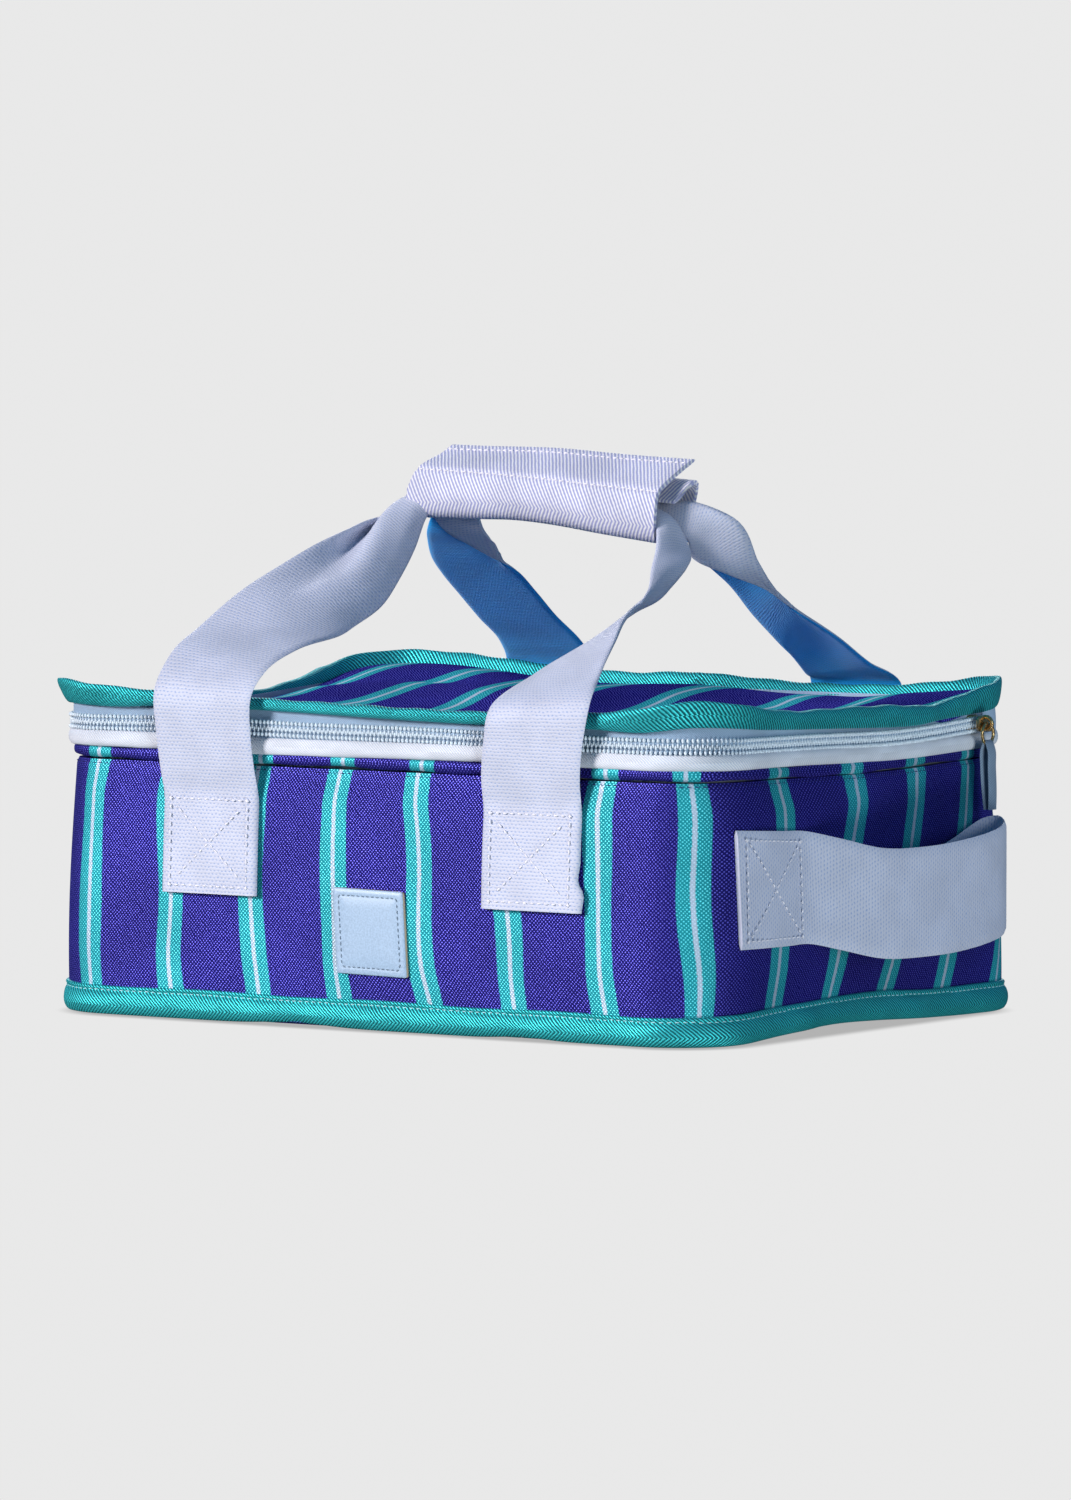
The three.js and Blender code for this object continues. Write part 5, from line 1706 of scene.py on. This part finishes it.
makeSlider()
makeRing()
makePull()
makeStops()
print("slider and pull made")


# Inside: coated liner tub, base and the cloth hinge at the rear
insideForm = dict(
    # liner from its outer floor, up, out over the wall, then down inside: outward place and height
    liner=[(-6.2, 6.0), (-6.1, 30.0), (-6.1, 60.0), (-6.1, 83.0), (-5.0, 85.6), (-3.4, 87.0), (-2.6, 90.0),
           (-2.5, 92.6), (-3.0, 93.6), (-3.8, 93.2), (-5.4, 91.6), (-6.6, 88.0), (-7.2, 83.0), (-7.4, 60.0),
           (-7.3, 30.0), (-7.4, 10.0), (-9.0, 7.4), (-12.0, 6.9)],
    floorOuter=5.9, floorInner=6.8, floorShares=(0.15, 0.6),
    # the liner's flat blank: wall added on each side, and the share that is left when its corners are cut
    blankWall=85, blankShare=0.72,
    base=[(-3.0, 0.5), (-2.4, 1.4), (-2.2, 3.4), (-2.6, 5.4)], baseShares=(0.15, 0.6),
    baseOuter=0.4, baseInner=5.5,
    # heights over which a bowl takes up the wall's lean and the zip's drop
    leanFrom=40, leanFull=86, leanShare=0.75, dropFrom=60, dropFull=88, dropShare=0.8,
    hingeFoot=88.6, hingeTop=102.6, hingeThick=0.9, hingeRows=18, hingeGap=0.6,
    hingeStand=-0.4, hingeBow=0.5,
    hingeFrom=(0, 0, 0.0925), hingeTo=(0, 0, 0.1005),
)


def bowl(name, profile, shares, lowZ, highZ, material, rise=0.0):
    # closed body round the outline: a floor out from the middle, the profile, and a floor back in
    form = insideForm

    def floorRow(offset, share, z):
        return onOutline(around, offset, z) * (share, share, 1)
    rows = [floorRow(profile[0][0], share, lowZ) for share in shares]
    for offset, z in profile:
        lean = form["leanShare"] * topLean(around) * float(smooth(form["leanFrom"], form["leanFull"], z))
        drop = form["dropShare"] * zipDrop(around) * float(smooth(form["dropFrom"], form["dropFull"], z))
        rows.append(onOutline(around, offset - lean, z - drop + rise))
    rows += [floorRow(profile[-1][0], share, highZ) for share in shares[::-1]]
    grid = np.array(rows)
    v = runLength(grid[:, 0])
    uv = np.stack(np.meshgrid(v, np.append(around, around[0] + perimeter), indexing="ij"), -1)
    return gridPiece(name, grid, uv[:, :, ::-1], False, material, 60)


def makeLiner():
    form = insideForm
    tub = bowl("linerTub", form["liner"], form["floorShares"], form["floorOuter"], form["floorInner"],
               linerFilm)
    return dress(tub, "bag", ["liner_tub"])


def makeBase():
    form = insideForm
    base = bowl("baseCloth", form["base"], form["baseShares"], form["baseOuter"], form["baseInner"],
                wallCloth, baseRise(around))
    return dress(base, "bag", ["base_panel", "base_foam"])


def makeHinge():
    # cloth strip that joins the lid to the bag round the rear
    form = insideForm
    s = stationsBetween(zipEnd + form["hingeGap"], zipStart + perimeter - form["hingeGap"])
    t = np.linspace(0, 1, form["hingeRows"])
    z = form["hingeFoot"] + t[None, :] * (form["hingeTop"] - form["hingeFoot"]) - zipDrop(s)[:, None]
    stand = form["hingeStand"] - zipForm["leanShare"] * topLean(s)[:, None]
    face = stand + form["hingeBow"] * np.sin(math.pi * t)
    offset = np.concatenate([face, (face - form["hingeThick"])[:, ::-1]], 1)
    strip = ringPiece("rearHinge", s, offset, np.concatenate([z, z[:, ::-1]], 1), False, hingeCloth)
    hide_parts("rear_hinge_strip")
    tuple(form["hingeFrom"])
    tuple(form["hingeTo"])
    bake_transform(strip)
    return strip


makeLiner()
makeBase()
makeHinge()
print("inside made")


# Stage: pale floor, soft light from the front left, and the photograph's camera
stageForm = dict(
    grey=0.813,              # the photograph's flat pale ground, as the camera sees it
    floorRadius=9.0, floorSides=64, floorDrop=0.0004, floorTone=0.10,
    # painted shadow where the bag stands: how dark, how far it spreads, and how far under the wall it starts
    shadeDepth=0.45, shadeReach=0.010, shadeInset=4.0,
    skyLight=0.28, skyTint=(0.16, 0.50, 1.0),
    cameraAt=(1.92421, -2.82021, 0.30065), cameraAim=(0.00007, 0.0, 0.08613), lens=247.5, sensor=36.0,
)
sunForms = dict(
    keyLight=dict(strength=3.98, angle=18.0, place=(-0.60, -0.95, 0.38), tint=(1.0, 0.955, 0.955)),
    # light thrown back up by the pale ground in front, which doesn't stop at the floor's own disc
    bounceLight=dict(strength=1.65, angle=22.0, place=(0.72, -0.36, -0.59), tint=(0.86, 0.96, 1.0)),
    rearLight=dict(strength=0.9, angle=30.0, place=(-0.55, 0.75, 0.40), tint=(1.0, 0.97, 0.94)),
    sideLight=dict(strength=0.85, angle=22.0, place=(0.86, -0.48, 0.08), tint=(0.90, 0.97, 1.0)),
)


def aimed(place, target):
    return (Vector(target) - Vector(place)).to_track_quat("-Z", "Y").to_euler()


def seenByCamera(tree, others, camera, output):
    # one look for the camera and another for the light that falls on the bag
    seen, choose = tree.nodes.new("ShaderNodeLightPath"), tree.nodes.new("ShaderNodeMixShader")
    tree.links.new(seen.outputs["Is Camera Ray"], choose.inputs[0])
    tree.links.new(others.outputs[0], choose.inputs[1])
    tree.links.new(camera.outputs[0], choose.inputs[2])
    tree.links.new(choose.outputs[0], tree.nodes[output].inputs["Surface"])


def makeFloor():
    form = stageForm
    count, radius, drop = form["floorSides"], form["floorRadius"], form["floorDrop"]
    turns = [2 * math.pi * k / count for k in range(count)]
    points = [(0, 0, -drop)] + [(radius * math.cos(a), radius * math.sin(a), -drop) for a in turns]
    mesh = bpy.data.meshes.new("floor")
    mesh.from_pydata(points, [], [[0, 1 + k, 1 + (k + 1) % count] for k in range(count)])
    floor = bpy.data.objects.new("floor", mesh)
    bpy.context.scene.collection.objects.link(floor)
    material, w, shader = newMaterial("paleFloor", 1.0, specular=0.0)
    shader.inputs["Base Color"].default_value = (form["floorTone"],) * 3 + (1,)
    # the camera sees the flat ground with a thin shadow close to the bag; the bag isn't lit by it
    place = w.split(w.tree.nodes.new("ShaderNodeTexCoord").outputs["Object"])
    corner = bagForm["corner"]
    past = [w.math("MAXIMUM", w.math("SUBTRACT", w.math("ABSOLUTE", axis), (half - corner) * mm), 0.0)
            for axis, half in zip(place, (bagForm["halfX"], bagForm["halfY"]))]
    squares = [w.math("MULTIPLY", reach, reach) for reach in past]
    distance = w.math("SQRT", w.math("ADD", *squares))
    away = w.math("SUBTRACT", distance, (corner - form["shadeInset"]) * mm)
    tone = w.ramp(away, 0.0, form["shadeReach"], form["grey"] * (1 - form["shadeDepth"]), form["grey"])
    ground = w.tree.nodes.new("ShaderNodeEmission")
    w.put(tone, ground.inputs["Color"])
    seenByCamera(w.tree, shader, ground, "Material Output")
    mesh.materials.append(material)
    floor.visible_shadow = False


def makeSun(name, strength, angle, place, tint):
    light = bpy.data.lights.new(name, "SUN")
    light.energy = strength
    light.angle = math.radians(angle)
    light.color = tint
    lamp = bpy.data.objects.new(name, light)
    lamp.location = place
    lamp.rotation_euler = aimed(place, (0, 0, 0))
    bpy.context.scene.collection.objects.link(lamp)


def makeLight():
    form = stageForm
    for name, sun in sunForms.items():
        makeSun(name, **sun)
    world = bpy.data.worlds.new("paleRoom")
    bpy.context.scene.world = world
    world.use_nodes = True
    tree = world.node_tree
    sky = tree.nodes["Background"]
    sky.inputs["Color"].default_value = (*form["skyTint"], 1)
    sky.inputs["Strength"].default_value = form["skyLight"]
    ground = tree.nodes.new("ShaderNodeBackground")
    ground.inputs["Color"].default_value = (form["grey"],) * 3 + (1,)
    ground.inputs["Strength"].default_value = 1.0
    seenByCamera(tree, sky, ground, "World Output")


def makeCamera():
    form = stageForm
    lens = bpy.data.cameras.new("photoCamera")
    lens.lens = form["lens"]
    lens.sensor_width = form["sensor"]
    lens.clip_end = 100
    camera = bpy.data.objects.new("photoCamera", lens)
    camera.location = form["cameraAt"]
    camera.rotation_euler = aimed(form["cameraAt"], form["cameraAim"])
    bpy.context.scene.collection.objects.link(camera)
    bpy.context.scene.camera = camera


makeFloor()
makeLight()
makeCamera()
bpy.context.scene.view_settings.view_transform = "Standard"
print("stage set")
